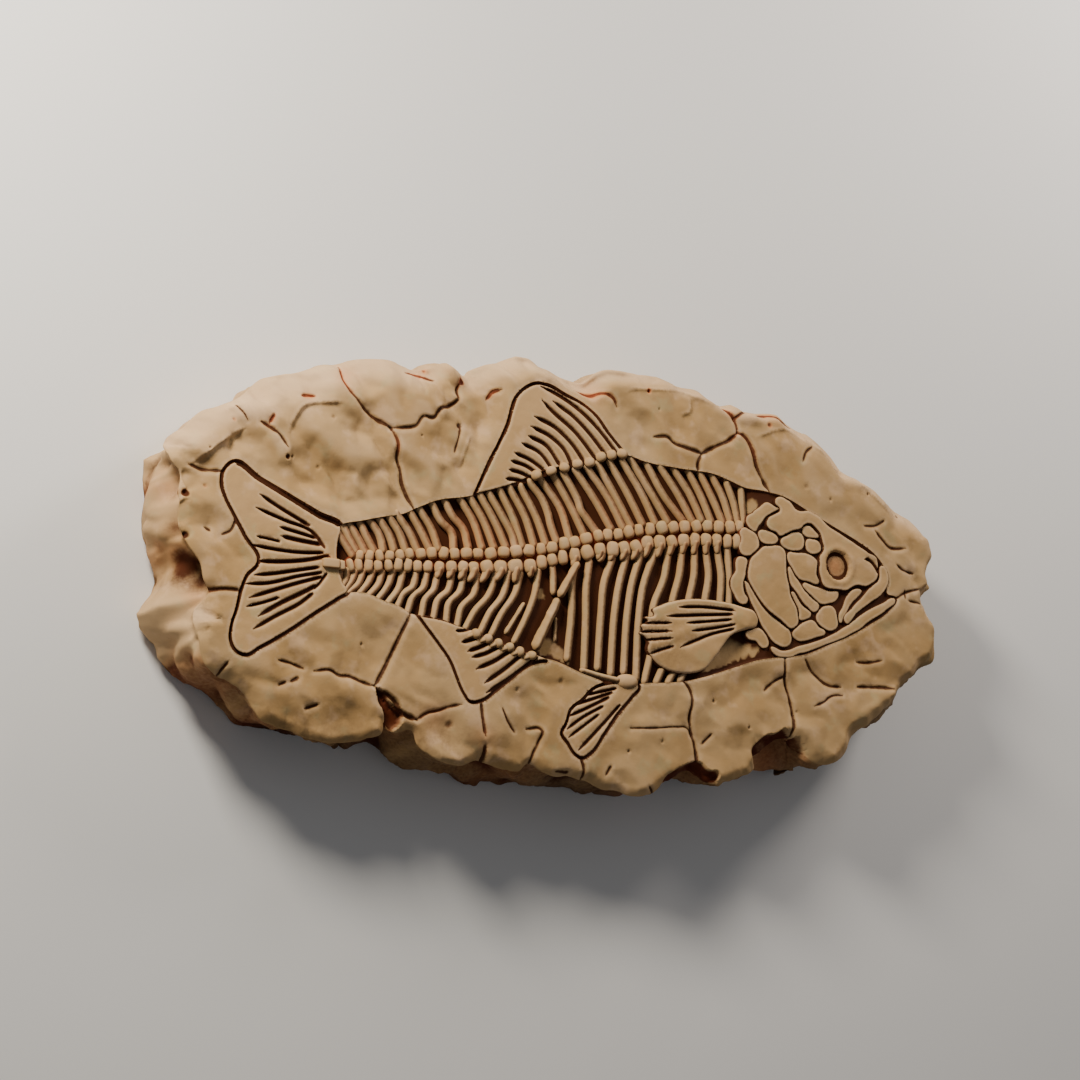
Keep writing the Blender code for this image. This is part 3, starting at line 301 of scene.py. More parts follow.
# Small pits: middle, radius, depth
PITS = [
    ((-89, 22.3), 1.0, 1.0), ((-87.3, 22.8), 0.7, 0.6), ((-79, 21), 0.9, 0.4), ((-75.5, 35), 0.9, 0.4),
    ((-111.5, 22), 0.6, 0.5), ((-117, -1.5), 1.3, 1.3), ((-112, 12), 0.8, 0.4), ((-104, 31), 0.8, 0.4),
    ((-117.5, 9.5), 1.5, 1.4), ((24.5, 55.5), 0.9, 0.9), ((-66, -26), 0.7, 0.5), ((28, 50.5), 0.7, 0.4),
    ((66, 50.5), 1.1, 0.6), ((87, 30.5), 0.8, 0.4), ((-36.5, 37.7), 1.3, 0.7), ((-45, 53.3), 0.8, 0.5),
    ((-35.2, 50.8), 1.5, 1.2), ((-49, 33), 0.6, 0.4), ((-18.5, -34.5), 1.0, 0.4), ((-4.5, -31), 1.2, 0.4),
    ((-110.5, -26), 1.0, 0.3), ((46, -32.5), 0.9, 0.5), ((57, -39.5), 0.7, 0.5), ((28, -45.5), 0.9, 0.4),
    ((17, -49), 0.7, 0.5), ((78.5, 33.5), 1.3, 0.4), ((114, 29), 0.8, 0.6), ((101.5, 34), 0.7, 0.4),
    ((-39, -45.5), 1.4, 0.6), ((74.5, -33.5), 0.7, 0.3), ((-19.5, -24.5), 0.1, 0.0),
]
# Where the wash is red or orange and not brown: middle, reach, strength
RED_STAINS = [
    ((-71.7, 47), 4.5, 1.0), ((-82.5, 40.3), 3, 1.0), ((-93.8, 32.3), 2.2, 0.8), ((-121, 13), 3.5, 0.8),
    ((-48.5, 51), 4, 0.9), ((-45, 53.3), 1.6, 0.9), ((-35.5, 51), 2.5, 0.8), ((-26, 48), 2.2, 0.7),
    ((7, 52.5), 5, 1.0), ((24.5, 55.5), 1.8, 1.0), ((52.5, 53), 3.5, 0.7), ((68, 53.6), 6, 0.9),
    ((-56.5, 30), 3, 0.5), ((-104, 31), 1.6, 0.5), ((-112, 12), 2.5, 0.3), ((-112.5, -19), 4, 0.5),
    ((55, 46), 3, 0.4), ((60, 42), 4, 0.3), ((-44, -42), 5, 0.4), ((-29, -48), 4, 0.3),
]
# Places on the bed's floor with thin wash and painted shade, so that the tan stone shows: middle, reach,
# strength
BARE_FLOOR = [
    ((-8, -22.5), 5, 0.9), ((-3, -25.5), 3, 0.7), ((59.5, 25.5), 3.5, 0.8), ((-10.5, -7), 2.5, 0.7),
    ((46, -21.5), 5, 0.9), ((53, -17.5), 5, 0.9), ((60, -17.5), 3, 0.7), ((-74, -9), 2, 0.6),
]

# The beds. The body's follows the back, the head and the belly
BACK_EDGE = [
    (-73, 5.5), (-67, 7.25), (-60, 9.25), (-54, 10.75), (-49.5, 13), (-43.25, 15.75), (-36.25, 17.25),
    (-27.75, 19.75), (-19.25, 22.5), (-11.25, 25.5), (-3.75, 29), (4.25, 31.5), (11.5, 33.75), (17, 35.5),
    (22.5, 34.5), (29.25, 34), (36, 33.75), (40.5, 33.75), (46.25, 33.5), (51.5, 32.25), (56.75, 30.75),
    (63.75, 30.5),
]
HEAD_EDGE = [
    (70.75, 29.5), (80.25, 25.75), (90.25, 21.75), (98, 18.5), (103, 15.5), (106.25, 12), (107.75, 8.25),
    (107, 5.5), (107, 4.6), (110.6, 3.4), (107.75, -0.75), (100.75, -5.5), (93, -9.75), (85, -13.25),
    (76.5, -16.75),
]
BELLY_EDGE = [
    (-70, -12.5), (-65, -12.25), (-59.75, -13.75), (-55.25, -14.75), (-51.25, -16.5), (-46.25, -16.5),
    (-41, -17.25), (-35.5, -18.75), (-30, -20), (-25, -21.75), (-19.75, -23.75), (-13.5, -24.75),
    (-7, -25.5), (1, -28), (7.25, -29.75), (13.25, -31.5), (22, -29.5), (30.25, -28.6), (37, -27.5),
    (43.75, -25.5), (52.25, -22.5), (61, -19.5), (69.25, -18),
]
TAIL_JOINT = [(-72, -13), (-74.5, -4), (-74.5, 4.5)]
TAIL_EDGE = [
    (-104.75, 19.75), (-108, 16.25), (-108.25, 12.5), (-107, 8.75), (-104.75, 5), (-101, -1), (-97.25, -6.75),
    (-100.5, -10.75), (-102, -14.5), (-103.25, -19.75), (-104.75, -24.75), (-104.75, -28.75), (-103, -31.5),
    (-100, -32.5), (-95.5, -30), (-87.5, -25), (-79.5, -19.25), (-73.25, -15), (-70, -12.5), (-72, -8),
    (-73, -4), (-73, 0.5), (-72.25, 5.25), (-79.5, 8.5), (-88.25, 12.5), (-96.5, 16.25),
]
BACK_FIN_EDGE = [
    (-32.75, 18.5), (-30, 24.5), (-27.25, 30), (-25, 34.5), (-22.5, 39.5), (-21, 44.5), (-19.25, 48.75),
    (-16.75, 51.25), (-12.5, 53.25), (-8.25, 53), (-2.75, 51), (2.75, 49), (7, 46.25), (10.75, 42),
    (14, 38.75), (17.5, 35.25),
]
BELLY_FIN_EDGE = [
    (-51, -16), (-47, -20.5), (-43, -25), (-40, -28.75), (-38, -33), (-36, -37), (-33.75, -39.5),
    (-29.75, -39), (-25.5, -36), (-21.25, -32.75), (-17, -29.25), (-12.75, -27), (-8.75, -26.25),
]
PELVIC_FIN_EDGE = [
    (14.5, -29), (4.75, -32.25), (1.75, -35.25), (-2.25, -38.5), (-3.75, -42.5), (-5.25, -45.5), (-3, -48.75),
    (-0.75, -51.5), (1.75, -52.5), (5, -50.75), (9.25, -45.25), (13.75, -39.25), (18.5, -34), (21, -30.75),
    (19, -28),
]
# How far in from a bed's edge its wall has reached the floor
BED_WALL = 0.25


def smooth_path(places, spacing=0.45, closed=False):
    """Places at an even spacing along a smooth curve through the given ones."""
    places = np.array(places, float)
    if closed:
        places = np.vstack([places, places[:1]])
    steps = np.diff(places, axis=0)
    lengths = np.linalg.norm(steps, axis=1)
    slopes = steps / lengths[:, None]
    tangents = np.vstack([slopes[:1], slopes])
    tangents[1:-1] = slopes[:-1] * lengths[1:, None] + slopes[1:] * lengths[:-1, None]
    tangents[-1] = slopes[-1]
    if closed:
        tangents[0] = slopes[-1] * lengths[0] + slopes[0] * lengths[-1]
        tangents[-1] = tangents[0]
    tangents /= np.linalg.norm(tangents, axis=1)[:, None]
    t = np.linspace(0, 1, 9)[:-1, None]
    parts = []
    for i, length in enumerate(lengths):
        from_start = (2 * t**3 - 3 * t**2 + 1) * places[i] + (t**3 - 2 * t**2 + t) * tangents[i] * length
        from_end = (3 * t**2 - 2 * t**3) * places[i + 1] + (t**3 - t**2) * tangents[i + 1] * length
        parts.append(from_start + from_end)
    curve = np.vstack(parts + [places[-1:]])
    along = np.append(0, np.cumsum(np.linalg.norm(np.diff(curve, axis=0), axis=1)))
    count = max(2, round(along[-1] / spacing))
    stops = np.linspace(0, along[-1], count + 1)
    if closed:
        stops = stops[:-1]
    return np.column_stack([np.interp(stops, along, column) for column in curve.T])


def left_normals(path, closed=False):
    if closed:
        steps = np.roll(path, -1, 0) - np.roll(path, 1, 0)
    else:
        steps = np.gradient(path, axis=0)
    steps /= np.linalg.norm(steps, axis=1)[:, None]
    return np.column_stack([-steps[:, 1], steps[:, 0]])


def rows_beside(path, offsets, closed=False):
    normals = left_normals(path, closed)
    return np.vstack([path + normals * offset for offset in offsets])


def smooth_step(low, high, value):
    t = np.clip((value - low) / (high - low), 0, 1)
    return t * t * (3 - 2 * t)


def is_inside(points, outline):
    order = np.argsort(points[:, 1])
    x, y = points[order].T
    hits = np.zeros(len(points), bool)
    for (x0, y0), (x1, y1) in zip(outline, np.roll(outline, -1, 0)):
        first, last = np.searchsorted(y, sorted((y0, y1)))
        some = slice(first, last)
        if last > first:
            hits[some] ^= x[some] < (x1 - x0) * (y[some] - y0) / (y1 - y0) + x0
    found = np.zeros(len(points), bool)
    found[order] = hits
    return found


def near_path(points, path, reach, closed=False):
    """For points within reach of a path: their indexes, distance, share of the way along and side."""
    if closed:
        path = np.vstack([path, path[:1]])
    order = np.argsort(points[:, 0])
    across, up = points[order].T
    distance = np.full(len(points), np.inf)
    share = np.zeros(len(points))
    side = np.ones(len(points))
    for i, (start, end) in enumerate(zip(path[:-1], path[1:])):
        left, right = sorted((start[0], end[0]))
        first, last = np.searchsorted(across, (left - reach, right + reach))
        inner = np.flatnonzero(np.abs(up[first:last] - (start[1] + end[1]) / 2) < reach + 1) + first
        x = across[inner] - start[0]
        y = up[inner] - start[1]
        step = end - start
        t = np.clip((x * step[0] + y * step[1]) / (step @ step), 0, 1)
        length = np.hypot(x - t * step[0], y - t * step[1])
        closer = length < distance[inner]
        changed = inner[closer]
        distance[changed] = length[closer]
        share[changed] = (i + t[closer]) / (len(path) - 1)
        side[changed] = np.sign(step[0] * y - step[1] * x)[closer]
    kept = distance < reach
    return order[kept], distance[kept], share[kept], side[kept]


def depth_inside(points, outline, reach):
    """How far inside a closed outline each point is, up to the reach. Outside it is negative."""
    depth = np.where(is_inside(points, outline), 1.0, -1.0) * reach
    near, distance, _, _ = near_path(points, outline, reach, closed=True)
    depth[near] = np.sign(depth[near]) * distance
    return depth


def random_at(i, j, seed):
    value = np.sin(i * 127.1 + j * 311.7 + seed * 74.7) * 43758.5453
    return 2 * (value - np.floor(value)) - 1


def corner_values(u, v, seed, turns):
    i, j = np.floor(u), np.floor(v)
    after = i + 1
    first, second = (i % turns, after % turns) if turns else (i, after)
    corners = [random_at(a, b, seed) for a in (first, second) for b in (j, j + 1)]
    return u - i, v - j, corners


def waves(u, v, seed, turns=0):
    """Smooth random height between -1 and 1 with lumps one unit wide."""
    a, b, (low_low, low_high, high_low, high_high) = corner_values(u, v, seed, turns)
    a, b = a * a * (3 - 2 * a), b * b * (3 - 2 * b)
    return (low_low * (1 - a) + high_low * a) * (1 - b) + (low_high * (1 - a) + high_high * a) * b


def chips(u, v, seed, turns=0):
    """Random height between -1 and 1 in flat facets one unit wide, as a chisel leaves them."""
    shifted_u = u + 0.45 * waves(u * 0.7 if not turns else u, v * 0.7, seed + 11, turns)
    shifted_v = v + 0.45 * waves(u * 0.7 if not turns else u, v * 0.7, seed + 23, turns)
    a, b, (low_low, low_high, high_low, high_high) = corner_values(shifted_u, shifted_v, seed, turns)
    near_half = low_low + (high_low - low_low) * a + (low_high - low_low) * b
    far_half = high_high + (low_high - high_high) * (1 - a) + (high_low - high_high) * (1 - b)
    return np.where(a + b < 1, near_half, far_half)


def lumps_at(points, lumps):
    total = np.zeros(len(points))
    for middle, reach, height in lumps:
        total += height * np.exp(-((points - middle) ** 2).sum(1) / reach**2)
    return total


def thinned(points, gap):
    """The same points without those that share a small square with an earlier one."""
    squares = np.floor(points / gap).astype(int)
    _, first = np.unique(squares, axis=0, return_index=True)
    return points[np.sort(first)]


def grid_points(low, high, spacing, seed):
    chance = np.random.default_rng(seed)
    x, y = np.meshgrid(np.arange(low[0], high[0], spacing), np.arange(low[1], high[1], spacing))
    points = np.column_stack([x.ravel(), y.ravel()])
    return points + chance.uniform(-0.28, 0.28, points.shape) * spacing


def filled(outline, points):
    """Triangles over a closed outline through the points inside it, and where each outline place went."""
    corners = [Vector(place) for place in np.vstack([outline, points]).tolist()]
    ring = list(range(len(outline)))
    made = delaunay_2d_cdt(corners, [], [ring], 1, 1e-6, True)
    places = np.array([tuple(place) for place in made[0]])
    went = {}
    for new, olds in enumerate(made[3]):
        for old in olds:
            if old < len(outline):
                went[old] = new
    ring_now = np.array([went[i] for i in ring])
    triangles = np.array([tuple(face) for face in made[2]])
    return places, triangles[is_inside(places[triangles].mean(1), outline)], ring_now


def block_from_rows(top, triangles, ring, rows):
    """A closed mesh from a top surface, the rows of its wall from the rim down, and a flat underside."""
    count = len(ring)
    corners = [top]
    faces = triangles.tolist()
    upper = ring.tolist()
    used = len(top)
    for row in rows:
        corners.append(row)
        lower = list(range(used, used + count))
        used += count
        for i in range(count):
            j = (i + 1) % count
            faces.append((upper[i], lower[i], lower[j], upper[j]))
        upper = lower
    middle = rows[-1].mean(0)
    corners.append(middle[None, :])
    faces += [(upper[(i + 1) % count], upper[i], used) for i in range(count)]
    mesh = bpy.data.meshes.new("block")
    mesh.from_pydata((np.vstack(corners) * MM).tolist(), [], faces)
    mesh.shade_smooth()
    return mesh


def counter_clockwise(outline):
    x, y = outline.T
    area = (x * np.roll(y, -1) - np.roll(x, -1) * y).sum()
    return outline if area > 0 else outline[::-1]


def paint(mesh, **marks):
    """Stores how strongly each point of a mesh carries each mark, for its material to read."""
    for name, values in marks.items():
        layer = mesh.attributes.new(name, "FLOAT", "POINT")
        layer.data.foreach_set("value", np.clip(values, 0, 1).astype(np.float32))


def add_piece(name, mesh, finish, slot, *nodes):
    """Makes a piece of the object stand for CAD nodes and ride on the slab's body."""
    mesh.name = name
    mesh.materials.clear()
    mesh.materials.append(finish)
    piece = bpy.data.objects.new(name, mesh)
    bpy.context.scene.collection.objects.link(piece)
    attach(piece, "root")
    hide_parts(*nodes)


class Wire:
    """A socket in a tree of nodes, so that sums on it read as plain arithmetic."""

    def __init__(self, nodes, socket):
        self.nodes = nodes
        self.socket = socket

    def sum(self, operation, first, second):
        return self.nodes.node("ShaderNodeMath", {"operation": operation}, {0: first, 1: second})

    def __add__(self, other):
        return self.sum("ADD", self, other)

    def __radd__(self, other):
        return self.sum("ADD", other, self)

    def __sub__(self, other):
        return self.sum("SUBTRACT", self, other)

    def __rsub__(self, other):
        return self.sum("SUBTRACT", other, self)

    def __mul__(self, other):
        return self.sum("MULTIPLY", self, other)

    def __rmul__(self, other):
        return self.sum("MULTIPLY", other, self)


class Nodes:
    """A tree of nodes, made one node at a time."""

    def __init__(self, tree):
        self.tree = tree

    def feed(self, socket, value):
        if isinstance(value, Wire):
            self.tree.links.new(value.socket, socket)
        else:
            socket.default_value = value

    def node(self, kind, settings=None, inputs=None, output=0):
        made = self.tree.nodes.new(kind)
        for name, value in (settings or {}).items():
            setattr(made, name, value)
        for key, value in (inputs or {}).items():
            self.feed(made.inputs[key], value)
        return Wire(self, made.outputs[output])


class Finish(Nodes):
    """A material made of nodes."""

    def __init__(self, name):
        self.material = bpy.data.materials.new(name)
        self.material.use_nodes = True
        super().__init__(self.material.node_tree)
        self.shader = self.tree.nodes["Principled BSDF"]
        self.place = self.node("ShaderNodeTexCoord", output="Object")

    def mark(self, name):
        return self.node("ShaderNodeAttribute", {"attribute_name": name}, output="Fac")

    def noise(self, width, detail=2.0, roughness=0.5):
        """Cloudy pattern with spots of about this width in millimetres."""
        inputs = {"Vector": self.place, "Scale": 1 / (width * MM), "Detail": detail, "Roughness": roughness}
        return self.node("ShaderNodeTexNoise", None, inputs)

    def step(self, low, high, value):
        inputs = {"Value": value, "From Min": low, "From Max": high}
        return self.node("ShaderNodeMapRange", {"interpolation_type": "SMOOTHSTEP"}, inputs)

    def mixed(self, share, below, above):
        return self.node("ShaderNodeMix", {"data_type": "RGBA"}, {0: share, 6: below, 7: above}, output=2)


def make_fossil_finish(name, tan, light_tan, pale, green_share):
    """Beige stone or bone: cloudy tan, pale on edges as wear and painted highlight, brown or red in the
    recesses and gaps as wash and painted shade.
    """
    finish = Finish(name)
    wash = finish.mark("wash")
    stain = finish.mark("stain")
    worn = finish.mark("worn")
    clouds = finish.noise(26, 3, 0.55)
    patches = finish.noise(8, 3, 0.6)
    specks = finish.noise(1.1, 2, 0.6)
    colour = finish.mixed(finish.step(0.35, 0.65, clouds), tan, light_tan)
    greenish = (0.40, 0.33, 0.17, 1)
    colour = finish.mixed(finish.step(0.56, 0.72, patches) * green_share, colour, greenish)
    peach = (0.62, 0.41, 0.26, 1)
    colour = finish.mixed(finish.step(0.46, 0.30, patches) * 0.35, colour, peach)
    # Pale: edge wear and painted highlight
    colour = finish.mixed(worn * 0.75, colour, pale)
    speckled = (0.36, 0.25, 0.14, 1)
    colour = finish.mixed(finish.step(0.60, 0.78, specks) * 0.22, colour, speckled)
    orange = (0.62, 0.24, 0.09, 1)
    colour = finish.mixed(stain * finish.step(0.02, 0.35, wash + stain * 0.15) * 0.75, colour, orange)
    # Brown, or red where stained: wash and painted shade in recesses and gaps
    brown = (0.058, 0.0175, 0.0063, 1)
    red = (0.17, 0.03, 0.011, 1)
    deep = finish.mixed(stain, brown, red)
    ragged = wash + (specks - 0.5) * 0.25
    colour = finish.mixed(finish.step(0.18, 0.75, ragged), colour, deep)
    finish.feed(finish.shader.inputs["Base Color"], colour)
    finish.feed(finish.shader.inputs["Roughness"], 0.56 + specks * 0.2 + wash * 0.1)
    finish.shader.inputs["Specular IOR Level"].default_value = 0.08
    grain = finish.noise(0.55, 3, 0.6) * 0.35 + finish.noise(3.2, 2, 0.5)
    bump = finish.node("ShaderNodeBump", None, {"Strength": 0.22, "Distance": 0.35 * MM, "Height": grain})
    finish.feed(finish.shader.inputs["Normal"], bump)
    return finish.material


def rim_columns():
    """The rim, its outward direction, and the wall's outline beside each place of the rim."""
    rim = smooth_path(RIM, 0.6, closed=True)
    broad = sum(np.roll(rim, k, 0) for k in range(-8, 9)) / 17
    outward = -left_normals(broad, closed=True)
    wall = smooth_path(WALL_LINE, 0.3, closed=True)

    def turn(points):
        turns = np.unwrap(np.arctan2(points[:, 1] / HALF_WIDTH, points[:, 0] / HALF_LENGTH))
        spare = np.arange(len(turns)) * 1e-5
        return np.maximum.accumulate(turns - spare) + spare

    rim_turn = turn(counter_clockwise(broad))
    wall_turn = turn(counter_clockwise(wall))
    wall_turn += 2 * math.pi * round((rim_turn[0] - wall_turn[0]) / (2 * math.pi))
    three_turns = np.concatenate([wall_turn - 2 * math.pi, wall_turn, wall_turn + 2 * math.pi])
    beside = np.column_stack([np.interp(rim_turn, three_turns, np.tile(wall[:, k], 3)) for k in (0, 1)])
    return rim, outward, beside


def shoulder_size(rim, outward):
    """Width and drop of the worn shoulder: broad at the back edge, above all behind the tail."""
    back = smooth_step(-0.2, 0.7, outward[:, 1])
    head = smooth_step(0.3, 0.9, outward[:, 0])
    tailward = smooth_step(-20, -80, rim[:, 0])
    share = np.arange(len(rim)) / len(rim)
    uneven = 1 + 0.35 * waves(share * 46, share * 0, 27, 46)
    width = (2.4 + back * (3.4 + 7.5 * tailward) + head * 1.5) * uneven
    drop = (1.5 + back * (3.2 + 2.5 * tailward) + head * 1.6) * uneven
    return width, drop, 1.3 * back * tailward


def wall_rows(rim, outward, beside, edge):
    """Rows of the slab's wall from just under the rim down to the base."""
    round_share = np.arange(len(rim)) / len(rim)
    rows = []
    slide = outward @ VIEW_SLIDE
    out_of_view = smooth_step(0.4, 0.2, slide) * smooth_step(-0.1, 0.3, outward[:, 1])
    under_rim = [edge - 0.35, edge - 0.9, edge - 1.7, edge - 2.6]
    heights = under_rim + [np.minimum(height, edge - 3.2 - 0.1 * i) for i, height in
                           enumerate(reversed(WALL_HEIGHTS))]
    for z in heights:
        towards_rim = smooth_step(0.5, 0.98, z / edge)[:, None]
        place = beside * (1 - towards_rim) + rim * towards_rim
        foot = 1.6 * smooth_step(2.5, 0, z)
        tuck = 0.9 * np.exp(-((edge - z - 2.2) / 1.6) ** 2)
        loose = smooth_step(0, 1.2, edge - z) * smooth_step(-1.5, 2.5, z)
        relief = 2.6 * chips(round_share * 44, z / 11, 31, 44)
        relief += 1.7 * chips(round_share * 110, z / 5, 37, 110)
        relief += 0.35 * chips(round_share * 300, z / 2, 41, 300)
        for middle, reach, depth in WALL_DENTS:
            relief -= depth * wall_nearness(place, z, outward, middle, reach)
        out = -foot - tuck + relief * loose
        place = place + outward * out[:, None]
        beyond = ((place - rim) * outward).sum(1) + slide * (edge - z) + 0.3
        place -= outward * (np.maximum(beyond, 0) * out_of_view)[:, None]
        row = np.column_stack([place, z])
        row[:, :2] = np.clip(row[:, :2], BOX_LOW, BOX_HIGH)
        rows.append(row)
    return rows


def bed_outlines():
    body = smooth_path(BACK_EDGE + HEAD_EDGE + BELLY_EDGE[::-1] + TAIL_JOINT, 0.45, closed=True)
    into_body = [(12, 31), (2, 28), (-12, 22), (-25, 17)]
    into_belly = [(-13, -21), (-25, -18), (-36, -15), (-46, -14)]
    back_fin = np.vstack([smooth_path(BACK_FIN_EDGE), into_body])
    belly_fin = np.vstack([smooth_path(BELLY_FIN_EDGE), into_belly])
    tail = smooth_path(TAIL_EDGE, 0.45, closed=True)
    pelvic_fin = smooth_path(PELVIC_FIN_EDGE, 0.45, closed=True)
    return [(body, BODY_FLOOR), (tail, FIN_FLOOR), (back_fin, FIN_FLOOR), (belly_fin, FIN_FLOOR),
            (pelvic_fin, FIN_FLOOR)]


def circle(middle, radius, count):
    turn = np.linspace(0, 2 * math.pi, count, endpoint=False)
    return np.array(middle) + np.column_stack([np.cos(turn), np.sin(turn)]) * radius


def slab_points(rim, beds, cracks, steps):
    """Places for the face's mesh: close together along its edges and cracks, even elsewhere."""
    points = [rows_beside(rim, (0.3, 0.7, 1.2, 1.8, 2.5), closed=True)]
    for outline, _ in beds:
        points.append(rows_beside(counter_clockwise(outline), (0, BED_WALL, -0.15, 0.65, -0.7), True))
    for _, outline in HOLLOWS:
        points.append(rows_beside(smooth_path(outline, closed=True), (0, 0.4, -0.4, 0.9), True))
    for size, _, path in cracks:
        half = size / 2
        points.append(rows_beside(path, (0, half, -half, half * 0.5, -half * 0.5, half + 0.4, -half - 0.4)))
    for _, _, path in steps:
        points.append(rows_beside(path, (0, -0.5, 0.5, -1.0)))
    for middle, radius, _ in PITS:
        points += [circle(middle, radius * share, 10) for share in (0.0, 0.5, 1.0)]
    points.append(grid_points((-126, -64), (127, 64), FACE_GRID, 5))
    points = thinned(np.vstack(points), POINT_GAP)
    points = points[depth_inside(points, rim, 3) > 0.2]
    body_outline = beds[0][0]
    under_bones = depth_inside(points, body_outline, 2) > 1.4
    kept = np.random.default_rng(3).uniform(size=len(points)) < 0.4
    return points[kept | ~under_bones]


def dress_face(places, beds):
    """Height of the face as the chisel left it, before anything is cut into it, with painted shade in its low
    places and on its lower left, and pale raised facets as wear and painted highlight.
    """
    x, y = places.T
    hammered = 0.45 + 0.55 * smooth_step(30, -20, x) * smooth_step(-5, 20, y)
    middling = chips(x / 8, y / 8, 5)
    small = chips(x / 4.2, y / 4.2, 7)
    relief = 1.1 * chips(x / 18, y / 18, 3) + 2.3 * middling + 1.1 * small + 0.08 * waves(x / 1.5, y / 1.5, 9)
    relief = lumps_at(places, FACE_LUMPS) + hammered * (relief - 0.6)
    relief = np.where(relief > 0, 1 - np.exp(-np.maximum(relief, 0)), relief)
    beside_bed = np.ones(len(places))
    for outline, _ in beds:
        beside_bed = np.minimum(beside_bed, 0.3 + 0.7 * smooth_step(0, -6, depth_inside(places, outline, 6)))
    height = FACE - 0.2 + (relief - 0.15) * beside_bed
    # Painted shade in the hollows between the facets
    wash = 0.1 * smooth_step(0, -0.7, small) * smooth_step(0.1, -0.6, middling) * hammered
    # Painted shade: the lower left of the face is darker, as if turned away from the lamps
    wash += 0.3 * smooth_step(-34, -50, y) * smooth_step(30, -50, x)
    # Pale on the raised facets: wear and painted highlight
    worn = 0.5 * smooth_step(0, 0.7, small) * smooth_step(0, 0.7, middling) * hammered
    return height, wash, worn


def wear_shoulder(places, rim, width, drop, height, worn):
    """Rounds the face down towards its rim, leaves it rough where the most has gone, and paints it pale near
    the rim there as wear and painted highlight.
    """
    near, distance, _, _ = near_path(places, rim, 15, closed=True)
    closest = nearest_index(places[near], rim)
    share = np.clip(distance / width[closest], 0, 1)
    height[near] -= drop[closest] * (1 - share) ** 1.7
    rough = smooth_step(0, 2, distance) * smooth_step(1.1, 0.4, share) * smooth_step(1.5, 4, drop[closest])
    x, y = places[near].T
    height[near] += rough * (1.8 * chips(x / 9, y / 9, 13) + 1.1 * chips(x / 4.5, y / 4.5, 14))
    # Pale near the rim where the shoulder drops most: wear and painted highlight
    worn[near] += 0.8 * smooth_step(1.0, 0.3, share) * smooth_step(2, 5, drop[closest])


def chisel_steps(places, steps, height, worn):
    """Lowers the face on the low side of each step, and paints the step's upper edge pale as wear and painted
    highlight.
    """
    for fall, reach, path in steps:
        near, distance, share, side = near_path(places, path, reach)
        taper = smooth_step(0, 0.2, share) * smooth_step(1, 0.8, share)
        low = (side < 0) * smooth_step(0, 0.9, distance) * smooth_step(reach, 1, distance)
        height[near] -= fall * low * taper
        # Pale along the step's upper edge: wear and painted highlight
        worn[near] += 0.5 * taper * (side > 0) * smooth_step(1.4, 0, distance)


def cut_cracks(places, cracks, height, wash, worn):
    """Cuts the cracks, which narrow towards both ends, paints them dark with wash and painted shade, and
    paints their lips pale as wear and painted highlight.
    """
    for i, (size, depth, path) in enumerate(cracks):
        near, distance, share, _ = near_path(places, path, size / 2 + 1.4)
        taper = 0.5 + 0.5 * smooth_step(0, 0.15, share) * smooth_step(1, 0.85, share)
        taper *= 0.85 + 0.3 * waves(share * len(path) * 0.22, share * 0 + i, 19)
        half = size / 2 * taper
        height[near] -= depth * taper * smooth_step(half + 0.1, half * 0.15, distance)
        height[near] -= 0.15 * smooth_step(half + 1.1, half, distance)
        # Wash and painted shade in the crack
        wash[near] = np.maximum(wash[near], 0.68 * smooth_step(half + 0.18, half * 0.6, distance))
        # Pale along the crack's lips: wear and painted highlight
        worn[near] += 0.35 * smooth_step(0.1, 0.5, distance - half) * smooth_step(1.3, 0.6, distance - half)


def dig_pits(places, height, wash):
    for middle, radius, depth in PITS:
        distance = np.hypot(*(places - middle).T)
        height -= depth * smooth_step(radius, 0, distance)
        # Each pit is painted dark: wash and painted shade
        wash[:] = np.maximum(wash, min(1, depth) * smooth_step(radius * 1.1, radius * 0.3, distance))


def sink_beds(places, beds, height, wash, worn):
    """Sinks the beds, whose floors are painted dark with wash and painted shade, apart from the places where
    it is thin, and paints a pale highlight on the face just outside each bed.
    """
    x, y = places.T
    bare = smooth_step(0.35, 0.6, lumps_at(places, BARE_FLOOR) + 0.12 * chips(x / 2, y / 2, 93))
    for outline, floor in beds:
        deep = depth_inside(places, outline, 2)
        into = smooth_step(0, BED_WALL, deep)
        bed_floor = floor + 0.12 * waves(x / 2.5, y / 2.5, 51)
        if floor == BODY_FLOOR:
            bed_floor += (HEAD_FLOOR - BODY_FLOOR) * smooth_step(56.5, 60, x)
        height[:] = height * (1 - into) + np.minimum(height, bed_floor) * into
        height -= 0.1 * smooth_step(-0.9, 0, deep) * (deep < 0)
        dark = smooth_step(-0.14, 0.06, deep)
        # Wash and painted shade on the bed's floor and wall
        wash[:] = np.maximum(wash, dark * (1 - 0.75 * bare * smooth_step(0.9, 1.3, deep)))
        # Painted highlight on the face's lip just outside the bed
        worn += 0.6 * smooth_step(-1.0, -0.5, deep) * smooth_step(-0.1, -0.3, deep)


